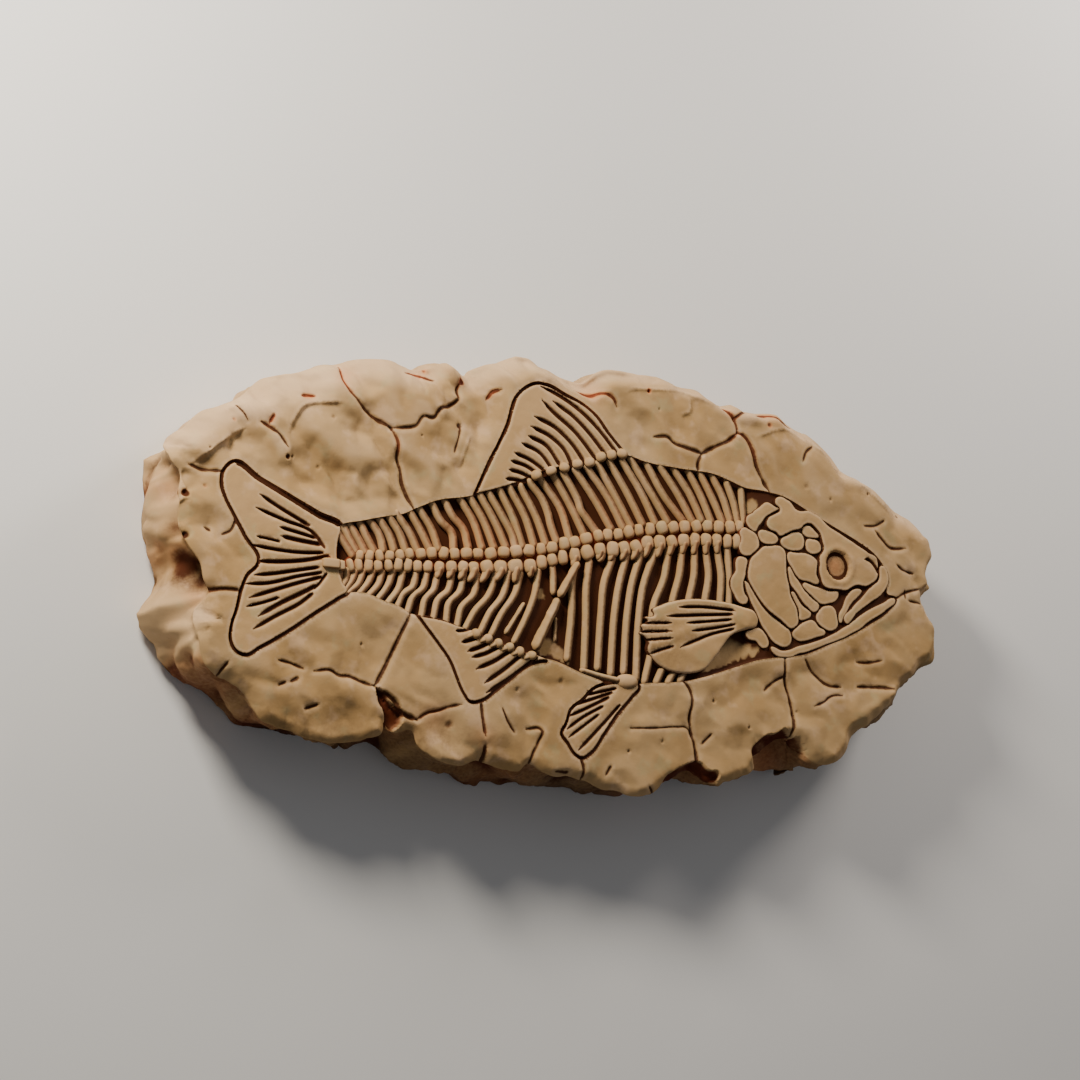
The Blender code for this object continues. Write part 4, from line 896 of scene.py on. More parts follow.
def make_slab():
    rim, outward, beside = rim_columns()
    width, drop, spread = shoulder_size(rim, outward)
    far_side = smooth_step(-0.1, 0.5, outward @ (FAR_LEAN / np.linalg.norm(FAR_LEAN)))
    round_share = np.arange(len(rim)) / len(rim)
    jagged = 0.65 * chips(round_share * 140, round_share * 0, 61, 140)
    jagged += 0.5 * chips(round_share * 60, round_share * 0, 63, 60)
    rim = rim + FAR_LEAN * ((drop - 1) * far_side)[:, None] + outward * (spread + jagged)[:, None]
    rim = np.clip(rim, BOX_LOW, BOX_HIGH)
    beds = bed_outlines()
    cracks = [(CRACK_WIDENING * size, CRACK_SHALLOWING * depth, smooth_path(places))
              for size, depth, places in CRACKS]
    steps = [(fall, reach, smooth_path(places)) for fall, reach, places in STEPS]
    places, triangles, ring = filled(rim, slab_points(rim, beds, cracks, steps))

    height, wash, worn = dress_face(places, beds)
    wear_shoulder(places, rim, width, drop, height, worn)
    chisel_steps(places, steps, height, worn)
    cut_cracks(places, cracks, height, wash, worn)
    dig_pits(places, height, wash)
    sink_beds(places, beds, height, wash, worn)
    fallen = hollow_depth(places)
    broken = np.clip(fallen / 2, 0, 1)
    x, y = places.T
    # Broken hollows painted dark: wash and painted shade
    wash = np.maximum(wash, broken * (0.78 + 0.3 * chips(x / 2.6, y / 2.6, 33)))
    height = np.minimum(height - fallen, HIGHEST)
    edge = height[ring]
    edge = (np.roll(edge, 1) + 2 * edge + np.roll(edge, -1)) / 4
    height[ring] = edge

    top = np.column_stack([places, height])
    rows = wall_rows(rim, outward, beside, edge)
    mesh = block_from_rows(top, triangles, ring, rows)
    # Wash and painted shade on the wall
    wall_wash = np.concatenate([wall_marks(row, outward) for row in rows])
    everywhere = np.vstack([top] + rows + [top[:1]])[:, :2]
    stain = lumps_at(everywhere, RED_STAINS)
    # Painted light: the wall is paler where it faces the back lamp
    wall_worn = np.tile(0.35 * smooth_step(0.2, 0.9, outward @ np.array((-0.8, 0.6))), len(rows))
    stain[len(top):] += lumps_at(everywhere[len(top):], WALL_STAINS)
    stain[:len(top)] += 0.35 * broken
    wash = np.concatenate([wash, wall_wash, [0]])
    worn = np.concatenate([worn, wall_worn, [0]])
    paint(mesh, wash=wash, worn=worn, stain=stain)
    return mesh


def nearest_index(points, path):
    """Index of the path's place nearest to each point."""
    found = np.zeros(len(points), int)
    for start in range(0, len(points), 2000):
        some = points[start:start + 2000]
        away = ((some[:, None, :] - path[None, :, :]) ** 2).sum(2)
        found[start:start + 2000] = away.argmin(1)
    return found


def hollow_depth(points):
    """How far the face is broken down at each point, with a steep ragged edge."""
    x, y = points.T
    depth = np.zeros(len(points))
    for fall, outline in HOLLOWS:
        deep = depth_inside(points, smooth_path(outline, closed=True), 4)
        ragged = 0.9 * chips(x / 3.2, y / 3.2, 77) * (deep > 0.7)
        depth = np.maximum(depth, fall * smooth_step(0, 0.7, deep) + ragged)
    return np.maximum(depth, 0)


def wall_marks(row, outward):
    """Wash and painted shade on the wall: in its hollows and dents, darker towards the base, and painted
    shade on the side that faces the belly, away from the lamps.
    """
    share = np.arange(len(row)) / len(row)
    z = row[:, 2]
    clouds = chips(share * 44, z / 11, 31, 44) * 0.5 + chips(share * 110, z / 5, 37, 110) * 0.35
    # Painted shade in the wall's hollows, and darker towards the base
    wash = smooth_step(0.0, -0.7, clouds) * 0.5 + 0.1 * smooth_step(12, 2, z)
    # Painted shade on the side that faces the belly, away from the lamps
    wash += 0.5 * smooth_step(0.25, 0.85, -outward[:, 1]) * smooth_step(25, 22.5, z)
    # Painted shade in the wall's dents
    for middle, reach, depth in WALL_DENTS:
        wash = np.maximum(wash, 0.3 * depth * wall_nearness(row[:, :2], z, outward, middle, 0.75 * reach))
    return wash


def wall_nearness(place, z, outward, middle, reach):
    """1 at the middle of a mark on the wall, falling to 0 beyond its reach along the wall and up or down."""
    from_middle = place - middle[:2]
    away_from_wall = (from_middle * outward).sum(1)
    away = (from_middle ** 2).sum(1) - 0.9 * away_from_wall ** 2 + (z - middle[2]) ** 2
    return np.exp(-away / reach**2)


STONE = make_fossil_finish("washed_limestone", tan=(0.375, 0.226, 0.092, 1), light_tan=(0.43, 0.276, 0.13, 1),
                           pale=(0.63, 0.43, 0.26, 1), green_share=0.4)
add_piece("stone_slab_face", make_slab(), STONE, "stone", "stone_slab")

# The backbone lies in the body's bed: a double row of vertebrae on one column, with thin spines
# towards the back and the rear belly and ribs under the front half. All of it is petrified bone,
# grown together and fast in the stone, with brown and red between the parts: wash, red stains
# and painted shade.

# The column's top and foot above the base, half its width beside each row, and its tail end
COLUMN_HIGH = 24.3
COLUMN_FOOT = 22.7
COLUMN_HALF = 1.2
COLUMN_START = -72
COLUMN_LENGTH = 128
VERTEBRA_MIDDLE = 24.6
VERTEBRA_HALF_HEIGHT = 1.35
# The line through the middles of each row of vertebrae, and where each vertebra lies along it
UPPER_ROW = [
    (-72.5, -2.8), (-61.25, -1.5), (-46, 0.75), (-30.5, 2.25), (-22.75, 3.5), (-14.75, 4.75), (-7.5, 6.5),
    (-0.25, 8.75), (8, 11.25), (14.5, 12.5), (21.25, 14.5), (33, 16.5), (40.75, 17.75), (56.5, 19.1),
]
LOWER_ROW = [
    (-74, -5.4), (-61, -4.25), (-55, -3.5), (-43, -2.75), (-32, -1.75), (-24, -1), (-14, 0.5), (-7.5, 2.75),
    (0, 5), (8.25, 7.5), (16.5, 8.5), (20.5, 9.5), (24, 11), (32.25, 12.25), (40.25, 13.5), (47.5, 14.25),
    (55.5, 14.6),
]
UPPER_BEADS = [
    -66.9, -64, -61, -57.9, -54.8, -51.9, -48.5, -45.1, -41.4, -38, -34.3, -30.7, -26.7, -22.7, -18.8,
    -14.6, -10.8, -7.3, -3.4, -0.1, 3.9, 7.7, 10.9, 14.3, 17.8, 21.2, 25, 28.8, 32.8, 36.6, 40.6, 44.4,
    48.1, 52, 55.2,
]
LOWER_BEADS = [
    -72.2, -69.6, -67.1, -64.2, -61.4, -58.3, -55.3, -52.3, -49.4, -46.2, -42.7, -39, -35.4, -32, -28,
    -23.6, -18.9, -14.2, -10.6, -7.2, -3.8, 0.1, 4.1, 8.3, 12.4, 16.3, 20.2, 24.1, 28.1, 32.1, 36.2, 39.9,
    43.7, 47.5, 51.1, 54.2,
]
# Where the lower vertebrae end in a tail: which one, and how far the tail reaches in x and in y
BEAD_TAILS = {10: (-0.7, -2.6), 11: (-0.8, -2.6), 12: (-0.9, -2.8), 13: (-1.4, -3.2), 14: (-1.6, -3.4),
              15: (-1.4, -3.0), 16: (-0.2, -3.6), 17: (0.1, -2.6), 21: (-0.6, -2.6), 23: (-0.6, -2.4),
              24: (-0.8, -2.8), 25: (-1.0, -2.6), 26: (-1.2, -3.0), 27: (-1.0, -3.4), 28: (-0.8, -3.6),
              29: (-0.9, -3.4), 30: (-0.6, -3.2), 31: (-0.4, -3.4), 32: (0.1, -3.4), 33: (0.3, -3.2)}
# Each spine from its foot on the column to its tip
BACK_SPINES = [
    [(-68.75, -2), (-70.5, 0.25), (-72.25, 2.25)],
    [(-67.75, -0.75), (-69.5, 2), (-71.25, 5)],
    [(-65, -0.75), (-67, 2.5), (-69.25, 5.5)],
    [(-62.25, -0.25), (-64.5, 3.25), (-66.25, 6.25)],
    [(-59.5, 0.25), (-60.75, 4.25), (-63.5, 7.75)],
    [(-56.25, 0.75), (-57.75, 4.5), (-60.5, 8.25)],
    [(-52.75, 1), (-54.75, 5.5), (-57.75, 9.5)],
    [(-49.25, 1.5), (-51.5, 5.75), (-55, 10)],
    [(-45.25, 1.75), (-48, 6.5), (-51.25, 11.25)],
    [(-42.75, 2.5), (-45, 7.75), (-48.5, 12.5)],
    [(-38, 3.25), (-38.6, 7.2), (-42, 10.2), (-44.75, 14.5)],
    [(-33.5, 3.75), (-35, 8.6), (-38.6, 12.2), (-40.75, 15.75)],
    [(-29.25, 4.25), (-31.75, 10.75), (-36, 16.75)],
    [(-25.5, 4.75), (-28.5, 11.25), (-33, 17.75)],
    [(-21.75, 5.25), (-25, 11.5), (-29.5, 18.25)],
    [(-18.5, 4.9), (-19.6, 8.5), (-22.75, 13.5), (-26.5, 18.75)],
    [(-16.5, 6), (-19.25, 13.25), (-23.5, 20.5)],
    [(-12.75, 6.75), (-15.5, 14), (-20, 21)],
    [(-9, 7.5), (-12, 14.5), (-16.5, 21.75)],
    [(-5.5, 8.5), (-7.4, 13), (-8.3, 16.2), (-10.2, 20), (-13.5, 23.5)],
    [(-1.25, 9.75), (-4.25, 17.75), (-10, 24.75)],
    [(3.5, 11.25), (-1, 19), (-6.5, 27)],
    [(7.25, 12.75), (3.9, 16.5), (2.4, 18.2), (1.6, 20.6), (-0.4, 24), (-3, 27.75)],
    [(12.25, 14), (7.5, 21), (1, 29)],
    [(16.25, 14.75), (11.25, 22.75), (5, 30)],
    [(19, 15.25), (13.75, 23.5), (8.5, 31.25)],
    [(22.75, 16.5), (17.75, 24.75), (12.5, 32.25)],
    [(27, 17.25), (22, 26), (16.75, 33)],
    [(31.25, 18), (25.5, 26), (19.5, 34)],
    [(36.25, 19), (30, 25.5), (24.5, 33.75)],
    [(39.5, 19.25), (34.5, 26.75), (29.25, 33.25)],
    [(42.75, 19.75), (38.5, 27.25), (33.75, 33.25)],
    [(46, 19.75), (42.5, 27), (38.5, 33.25)],
    [(50, 20), (46.25, 27), (42.5, 33.25)],
    [(52.5, 20.75), (50.25, 27), (46.75, 32.75)],
    [(55, 20.5), (54, 25.5), (52, 30.5)],
    [(57, 20.75), (56.75, 25.25), (56.5, 30)],
]
BELLY_SPINES = [
    [(-72.25, -7), (-72.5, -8.25), (-72.75, -9.25)],
    [(-70.25, -6.5), (-70.5, -8.75), (-71.5, -10.5)],
    [(-67.8, -6.5), (-68.7, -8.6), (-70.4, -11.2)],
    [(-65.5, -6.25), (-67, -9.75), (-69.5, -12)],
    [(-62.5, -6), (-63.75, -8.75), (-66, -11.6)],
    [(-59.75, -6), (-60.75, -9), (-63.5, -12.25)],
    [(-56.5, -5.5), (-58, -9.25), (-60.75, -13)],
    [(-53.5, -5.5), (-54.75, -9.75), (-57.75, -13.75)],
    [(-49.5, -5), (-50.4, -8.8), (-53.6, -11.4), (-54.75, -14)],
    [(-46.25, -5), (-47.2, -8.8), (-50.4, -11.6), (-51.75, -15.25)],
    [(-43, -4.75), (-44, -9), (-46.6, -11.8), (-47.5, -15.5)],
    [(-38.5, -4.25), (-39.6, -8.8), (-42.8, -11.8), (-43.75, -15.5)],
    [(-34.75, -4), (-36, -8.8), (-39.4, -12.4), (-40, -16.25)],
    [(-30.5, -3.75), (-31.6, -9), (-35.6, -13.4), (-36.5, -17)],
    [(-25, -3), (-26.8, -8.6), (-31.5, -14), (-33.5, -17.5)],
    [(-20.75, -2.25), (-22.6, -8.6), (-26.8, -14), (-29, -18.25)],
    [(-17, -2), (-18.6, -7.4), (-23, -13.8), (-25.5, -18.5)],
    [(-11.25, -0.5), (-12.4, -7), (-15.2, -14), (-18.25, -19.75)],
    [(-6.75, 0.75), (-6.5, -1.75), (-6.5, -4.5)],
]
RIBS = [
    [(0.6, 3), (-0.4, -2), (-0.6, -10.75), (-2, -23)],
    [(5.2, 3.6), (4.2, -3), (3.9, -13.25), (3.3, -25.2)],
    [(12.75, 5.5), (10, -1.75), (9, -10), (7.75, -24.75)],
    [(17.5, 6.75), (15, -1.5), (13.5, -9.25), (12, -26)],
    [(22.25, 8), (19, -1.75), (17.5, -10.25), (16.25, -25.2)],
    [(27, 9), (22.75, -2), (21.25, -11.75), (20.25, -26.75)],
    [(31.5, 10), (30, 1.75), (26.25, -7), (25.25, -20.25), (23.25, -27.5)],
    [(36, 10.75), (35.25, 3.75), (32.75, -4.5), (29.5, -23.5), (27.5, -27.5)],
    [(40.25, 11.25), (40, 3.25), (38.25, -3.5), (34.2, -23), (31.5, -27.25)],
    [(44, 11.5), (45, 3.75), (43.75, -3), (38.6, -21), (35.5, -26.25)],
    [(48, 12), (49.25, 4.25), (48.75, -3.4)],
    [(51.5, 12.25), (52, 4.5), (51.75, -3.2)],
]
# Name, places, radius at the foot and the tip, height of the middle at the foot and the tip
SPINE_GROUPS = [
    ("back_spines", BACK_SPINES, 1.2, 1.05, 24.0, 24.2),
    ("belly_spines", BELLY_SPINES, 1.05, 0.95, 23.9, 24.0),
    ("ribs", RIBS, 1.15, 1.1, 23.9, 24.1),
]
# How far each spine runs on under the column and past its last place
SPINE_ROOT = 1.4
SPINE_END = 2.3
RIB_HOOK = [(9.25, 7.25), (8.9, 5.4), (7.9, 4.0)]
TAIL_STUB = [(-75.9, -5.3, 25.7), (-72.9, -5.5, 25.3)]
TAIL_STUB_SIZES = [(2.6, 1.35, 1.2), (1.2, 1.3, 1.1)]
# Spacing of the rings along a rod, and the number of lumps per metre of it
ROD_STEP = 0.4
ROD_LUMPS = 450.0
# How far a flank has to face the head, away from the back lamp, for its painted shade to start and to be
# full, and how dark that painted shade gets
ROD_FLANK = (-0.3, 0.12)
ROD_SHADE = 0.56
BLOCK_FLANK = (-0.1, 0.5)
BLOCK_SHADE = 0.46
# Where the wash on the bones is red: middle, reach, strength
RED_BONES = [
    ((-66, -2), 9, 0.8), ((-45, 0.5), 9, 0.7), ((-28, 3), 9, 0.9), ((-10, 5), 9, 0.7), ((6, 9), 9, 0.6),
    ((22, 13), 9, 0.6), ((38, 16), 9, 0.7), ((52, 18), 6, 0.6), ((-4, 17), 4, 0.6), ((10, 20), 5, 0.4),
    ((-35, 9), 5, 0.5), ((45, 30), 4, 0.4), ((88.6, 10.8), 3, 0.6),
]


class Plan(Nodes):
    """A tree of geometry nodes, which grows a finished mesh from a simple one."""

    def __init__(self, name, **sizes):
        super().__init__(bpy.data.node_groups.new(name, "GeometryNodeTree"))
        self.tree.interface.new_socket("Geometry", in_out="INPUT", socket_type="NodeSocketGeometry")
        for size, kind in sizes.items():
            self.tree.interface.new_socket(size, in_out="INPUT", socket_type="NodeSocket" + kind)
        self.tree.interface.new_socket("Geometry", in_out="OUTPUT", socket_type="NodeSocketGeometry")
        self.start = self.tree.nodes.new("NodeGroupInput")
        self.end = self.tree.nodes.new("NodeGroupOutput")

    def given(self, name):
        return Wire(self, self.start.outputs[name])

    def finish(self, geometry, material):
        real = self.node("GeometryNodeRealizeInstances", None, {0: geometry})
        dressed = self.node("GeometryNodeSetMaterial", None, {0: real, "Material": material})
        self.feed(self.end.inputs[0], dressed)

    def grow(self, seeds, **sizes):
        holder = bpy.data.objects.new("seeds", seeds)
        bpy.context.scene.collection.objects.link(holder)
        modifier = holder.modifiers.new("plan", "NODES")
        modifier.node_group = self.tree
        for socket in self.tree.interface.items_tree:
            if socket.name in sizes:
                modifier[socket.identifier] = sizes[socket.name]
        graph = bpy.context.evaluated_depsgraph_get()
        mesh = bpy.data.meshes.new_from_object(holder.evaluated_get(graph))
        holder.modifiers.remove(modifier)
        bpy.data.objects.remove(holder)
        return mesh


BONE = make_fossil_finish("petrified_bone", tan=(0.41, 0.25, 0.105, 1), light_tan=(0.46, 0.285, 0.13, 1),
                          pale=(0.62, 0.425, 0.25, 1), green_share=0.45)


def add_bone(name, mesh, node):
    add_piece(name, mesh, BONE, "bone", node)


def rod_plan():
    """Rods along drawn lines, as thick as each point's girth, with a slightly uneven surface."""
    plan = Plan("bone_rods", Sides="Int", Unevenness="Float")
    line = plan.node("GeometryNodeMeshToCurve", None, {0: plan.given("Geometry")})
    girth = plan.node("GeometryNodeInputNamedAttribute", {"data_type": "FLOAT"}, {"Name": "girth"})
    ring = plan.node("GeometryNodeCurvePrimitiveCircle", None,
                     {"Resolution": plan.given("Sides"), "Radius": MM})
    rods = plan.node("GeometryNodeCurveToMesh", None,
                     {"Curve": line, "Profile Curve": ring, "Scale": girth, "Fill Caps": True})
    place = plan.node("GeometryNodeInputPosition")
    lumps = plan.node("ShaderNodeTexNoise", None, {"Vector": place, "Scale": ROD_LUMPS, "Detail": 1.0})
    reach = (lumps - 0.5) * plan.given("Unevenness")
    normal = plan.node("GeometryNodeInputNormal")
    offset = plan.node("ShaderNodeVectorMath", {"operation": "SCALE"}, {0: normal, "Scale": reach})
    moved = plan.node("GeometryNodeSetPosition", None, {"Geometry": rods, "Offset": offset})
    smooth = plan.node("GeometryNodeSetShadeSmooth", None, {"Geometry": moved})
    plan.finish(smooth, BONE)
    return plan


def block_plan():
    """Small rounded blocks, one on each seed point, with that point's size and turn."""
    plan = Plan("bone_blocks", Squareness="Float")
    cube = plan.node("GeometryNodeMeshCube", None, {"Size": (2 * MM, 2 * MM, 2 * MM)})
    block = plan.node("GeometryNodeSubdivisionSurface", None,
                      {"Mesh": cube, "Level": 3, "Edge Crease": plan.given("Squareness")})
    size = plan.node("GeometryNodeInputNamedAttribute", {"data_type": "FLOAT_VECTOR"}, {"Name": "size"})
    turn = plan.node("GeometryNodeInputNamedAttribute", {"data_type": "FLOAT_VECTOR"}, {"Name": "turn"})
    blocks = plan.node("GeometryNodeInstanceOnPoints", None,
                       {"Points": plan.given("Geometry"), "Instance": block, "Rotation": turn, "Scale": size})
    smooth = plan.node("GeometryNodeSetShadeSmooth", None, {"Geometry": blocks})
    plan.finish(smooth, BONE)
    return plan


RODS = rod_plan()
BLOCKS = block_plan()


def line_seeds(lines):
    """A mesh of drawn lines; each has places in 3-D and a girth for each of them."""
    mesh = bpy.data.meshes.new("lines")
    places = np.vstack([line for line, _ in lines]) * MM
    edges = []
    start = 0
    for line, _ in lines:
        edges += [(start + i, start + i + 1) for i in range(len(line) - 1)]
        start += len(line)
    mesh.from_pydata(places.tolist(), edges, [])
    layer = mesh.attributes.new("girth", "FLOAT", "POINT")
    layer.data.foreach_set("value", np.concatenate([girths for _, girths in lines]).astype(np.float32))
    return mesh


def bone_line(places, foot, tip, high, low, dip=0.5, before=0.0, after=0.0):
    """A bone along flat places: radius at the foot and the tip, middle's height at both, round ends."""
    path = smooth_path(places, ROD_STEP)
    first_step = path[1] - path[0]
    last_step = path[-1] - path[-2]
    head = [path[0] - first_step * i for i in range(round(before / ROD_STEP), 0, -1)]
    tail = [path[-1] + last_step * i for i in range(1, 1 + round(after / ROD_STEP))]
    path = np.array([*head, *path, *tail])
    share = np.linspace(0, 1, len(path))
    girth = foot + (tip - foot) * share
    length = ROD_STEP * (len(path) - 1)
    to_end = (1 - share) * length
    from_start = share * length
    for away, size in ((to_end, tip), (from_start, foot)):
        inner = np.clip(away / size, 0, 1)
        girth = girth * np.maximum(np.sqrt(1 - (1 - inner) ** 2), 0.35)
    height = high + (low - high) * share - dip * smooth_step(0.8, 0, to_end)
    return np.column_stack([path, height]), girth


def make_rods(lines, unevenness=0.1, sides=12):
    mesh = RODS.grow(line_seeds(lines), Sides=sides, Unevenness=unevenness * MM)
    stain_and_shade_bone(mesh, ROD_FLANK, ROD_SHADE)
    return mesh


def make_blocks(places, sizes, turns, squareness):
    """Rounded blocks with their middle places, half sizes and turns about the upright axis."""
    seeds = bpy.data.meshes.new("seats")
    seeds.from_pydata((np.array(places) * MM).tolist(), [], [])
    for key, values in (("size", sizes), ("turn", [(0, 0, turn) for turn in turns])):
        layer = seeds.attributes.new(key, "FLOAT_VECTOR", "POINT")
        layer.data.foreach_set("vector", np.array(values, np.float32).ravel())
    mesh = BLOCKS.grow(seeds, Squareness=squareness)
    stain_and_shade_bone(mesh, BLOCK_FLANK, BLOCK_SHADE)
    return mesh


def read_points(mesh, key):
    values = np.zeros(len(mesh.vertices) * 3, np.float32)
    mesh.vertices.foreach_get(key, values)
    return values.reshape(-1, 3)


def stain_and_shade_bone(mesh, flank, shade):
    """Painted shade on a bone's underside and on its flank that faces the head, away from the back lamp, a
    painted highlight on its top, and red stains.
    """
    places = read_points(mesh, "co") / MM
    normals = read_points(mesh, "normal")
    facing = normals[:, 2]
    headward = normals @ np.array((0.87, -0.5, 0))
    # Painted shade below and on the flank turned away from the back lamp
    wash = np.maximum(smooth_step(0.15, -0.25, facing), shade * smooth_step(*flank, headward))
    stain = 0.7 * lumps_at(places[:, :2], RED_BONES)
    # The top is paler: painted highlight
    paint(mesh, wash=wash, stain=stain, worn=0.5 * smooth_step(0.75, 0.98, facing))


def on_row(row, x):
    return np.interp(x, [place[0] for place in row], [place[1] for place in row])


def make_column():
    upper = smooth_path(UPPER_ROW, 0.6)
    upper = upper[upper[:, 0] > -68.5]
    lower = smooth_path(LOWER_ROW, 0.6)
    outline = np.vstack([rows_beside(lower, (-COLUMN_HALF,)), rows_beside(upper, (COLUMN_HALF,))[::-1]])
    top, triangles, ring = filled(outline, grid_points(outline.min(0), outline.max(0), 1.0, 9))
    high = np.full(len(top), COLUMN_HIGH)
    high[ring] -= 0.25
    rows = [np.column_stack([top[ring], np.full(len(ring), z)]) for z in (COLUMN_HIGH - 0.6, COLUMN_FOOT)]
    mesh = block_from_rows(np.column_stack([top, high]), triangles, ring, rows)
    places = read_points(mesh, "co") / MM
    stain = 0.3 + 0.9 * lumps_at(places[:, :2], RED_BONES)
    # The column is painted dark where it shows between the vertebrae: wash, red stain and painted shade
    paint(mesh, wash=np.full(len(places), 0.85), stain=stain, worn=np.zeros(len(places)))
    return mesh


def make_vertebrae():
    chance = np.random.default_rng(17)
    places = []
    sizes = []
    turns = []
    rows = [(UPPER_ROW, UPPER_BEADS, 1.35, 1.65), (LOWER_ROW, LOWER_BEADS, 1.5, 1.95)]
    for row, beads, at_tail, at_head in rows:
        pitches = np.gradient(np.array(beads))
        for x, pitch in zip(beads, pitches):
            share = (x - COLUMN_START) / COLUMN_LENGTH
            half_width = pitch / 2 - 0.42
            half_length = at_tail + (at_head - at_tail) * share
            slope = math.atan2(on_row(row, x + 2) - on_row(row, x - 2), 4)
            y = on_row(row, x) + chance.uniform(-0.2, 0.2)
            places.append((x, y, VERTEBRA_MIDDLE + chance.uniform(-0.2, 0.2)))
            half_width = half_width * chance.uniform(1.12, 1.38)
            half_length = half_length * chance.uniform(1.15, 1.42)
            sizes.append((half_width, half_length, VERTEBRA_HALF_HEIGHT))
            turns.append(slope + chance.uniform(-0.28, 0.28))
    return make_blocks(places, sizes, turns, squareness=0.22)


def make_bead_tails():
    lines = []
    for i, (reach_x, reach_y) in BEAD_TAILS.items():
        x = LOWER_BEADS[i]
        y = on_row(LOWER_ROW, x)
        bend = (x + 0.2 * reach_x, y + 0.6 * reach_y)
        end = (x + 1.2 * reach_x, y + 1.25 * reach_y)
        lines.append(bone_line([(x + 0.1, y + 0.4), bend, end], 1.4, 0.85, 24.9, 24.5, 0.3))
    return make_rods(lines, 0.15)


add_bone("vertebral_column", make_column(), "backbone")
add_bone("vertebrae", make_vertebrae(), "backbone")
add_bone("vertebra_tails", make_bead_tails(), "backbone")
add_bone("tail_stub", make_blocks(TAIL_STUB, TAIL_STUB_SIZES, (0.0, 0.1), squareness=0.4), "backbone")
for name, spines, foot, tip, high, low in SPINE_GROUPS:
    lines = [bone_line(places, foot, tip, high, low, 0.3, SPINE_ROOT, SPINE_END) for places in spines]
    add_bone(name, make_rods(lines), "backbone")
add_bone("rib_hook", make_rods([bone_line(RIB_HOOK, 1.1, 1.0, 24.6, 24.5, 0.0)]), "backbone")

# The tail fin, back fin, belly fin and pelvic fin are thin fans of petrified rays, flush with the
# face in beds of their own. The slits between the rays are open towards the base and run out in
# the skin of the fin. The back and belly fins sit on a row of small round knobs.
FIN_HIGH = 25.9
FIN_FOOT = 23.4
# How far each fin's edge stays inside its bed's
FIN_SETBACK = 0.85
# Slits between the rays: width, places
TAIL_SLITS = [
    (0.9, [(-96.8, 11.2), (-89.5, 7.6), (-82.5, 4.5)]),
    (0.8, [(-98, 7.5), (-89.5, 5), (-81, 2.5), (-77.6, -1.2)]),
    (0.8, [(-91, 3), (-86, 2.2), (-80.5, 1.2)]),
    (1.1, [(-90.5, 0.6), (-85, 0), (-79, -0.4)]),
    (0.45, [(-97.5, -0.2), (-94, -0.5), (-91, -0.9)]),
    (0.75, [(-99, -2.6), (-91, -3.2), (-84, -3.2), (-78.2, -2.6)]),
    (1.0, [(-97.6, -6.8), (-90.5, -6.3), (-83.5, -5.2), (-76.5, -3.3)]),
    (0.85, [(-98, -10.6), (-92, -9.6), (-86, -8.2), (-79.5, -6.7)]),
    (0.8, [(-100.5, -13.2), (-94, -12.4), (-85, -9.6), (-78.5, -8)]),
    (0.9, [(-99.3, -16.8), (-93.5, -14.6), (-85, -11.4), (-78.5, -9.2)]),
    (0.6, [(-100, -19.2), (-95, -17.6), (-91, -16)]),
    (1.1, [(-96.6, -21.4), (-90.6, -17.6), (-84, -14), (-80, -11.7)]),
    (0.9, [(-98, -25), (-91.5, -20.9), (-84.5, -16.8), (-81, -13.9)]),
    (0.5, [(-80.4, -12.6), (-78.6, -10.4), (-77, -8.2)]),
]
BACK_FIN_SLITS = [
    (1.3, [(-11.5, 52), (-6.75, 50.7), (-0.75, 48), (7, 42.5), (13.3, 36.2)]),
    (1.35, [(-7.5, 48.2), (-0.75, 44.7), (5.25, 39.7), (10.2, 34.6)]),
    (1.4, [(-11, 48), (-6.75, 44.7), (-0.75, 40.7), (6.6, 33.4)]),
    (1.4, [(-13.5, 43), (-7.25, 41), (-0.75, 36.2), (2.8, 32)]),
    (1.35, [(-14.5, 40), (-8.25, 37.9), (-3.75, 34.7), (-1.2, 30.6)]),
    (1.3, [(-15.5, 37.2), (-9.5, 35.1), (-5.2, 30.1)]),
    (1.2, [(-17.5, 34.8), (-11.5, 32.7), (-7.9, 29)]),
    (1.15, [(-19.8, 31.8), (-14.75, 30.4), (-10.2, 28)]),
    (1.1, [(-21, 29.4), (-15.75, 28.4), (-12.6, 26.9)]),
    (1.1, [(-21.5, 26.8), (-17.5, 26.3), (-14.5, 25.4)]),
    (1.0, [(-22.5, 24.1), (-19.5, 24.2), (-16.8, 24)]),
]
BELLY_FIN_SLITS = [
    (0.8, [(-38, -20), (-35.75, -19.75), (-32.4, -18.6)]),
    (1.2, [(-36.2, -23), (-33.5, -22.2), (-28.6, -19.8)]),
    (1.3, [(-34.2, -25.3), (-30.5, -23.9), (-25, -20.6)]),
    (1.2, [(-33, -26.9), (-28.75, -25.5), (-21.8, -21.4)]),
    (1.3, [(-31.5, -29.9), (-26.25, -27.5), (-18.2, -22)]),
    (1.3, [(-29, -33.6), (-23.75, -30), (-15.2, -23)]),
    (1.1, [(-28.5, -36.3), (-22, -32.2), (-12.4, -25)]),
]
PELVIC_FIN_SLITS = [
    (0.8, [(3, -34.4), (8, -33), (12.8, -31.7)]),
    (0.9, [(-1, -37.5), (5.5, -35.2), (11.5, -33)]),
    (0.9, [(-2.4, -40.7), (4, -37.7), (10.5, -34.4)]),
    (0.8, [(-3.2, -44.4), (2, -40.7), (8.5, -37.1)]),
    (1.0, [(0.6, -49.9), (5, -45.6), (9.4, -41.2), (14, -36.4)]),
    (0.7, [(-2.6, -46.6), (1.8, -43.4), (7, -39.6)]),
]
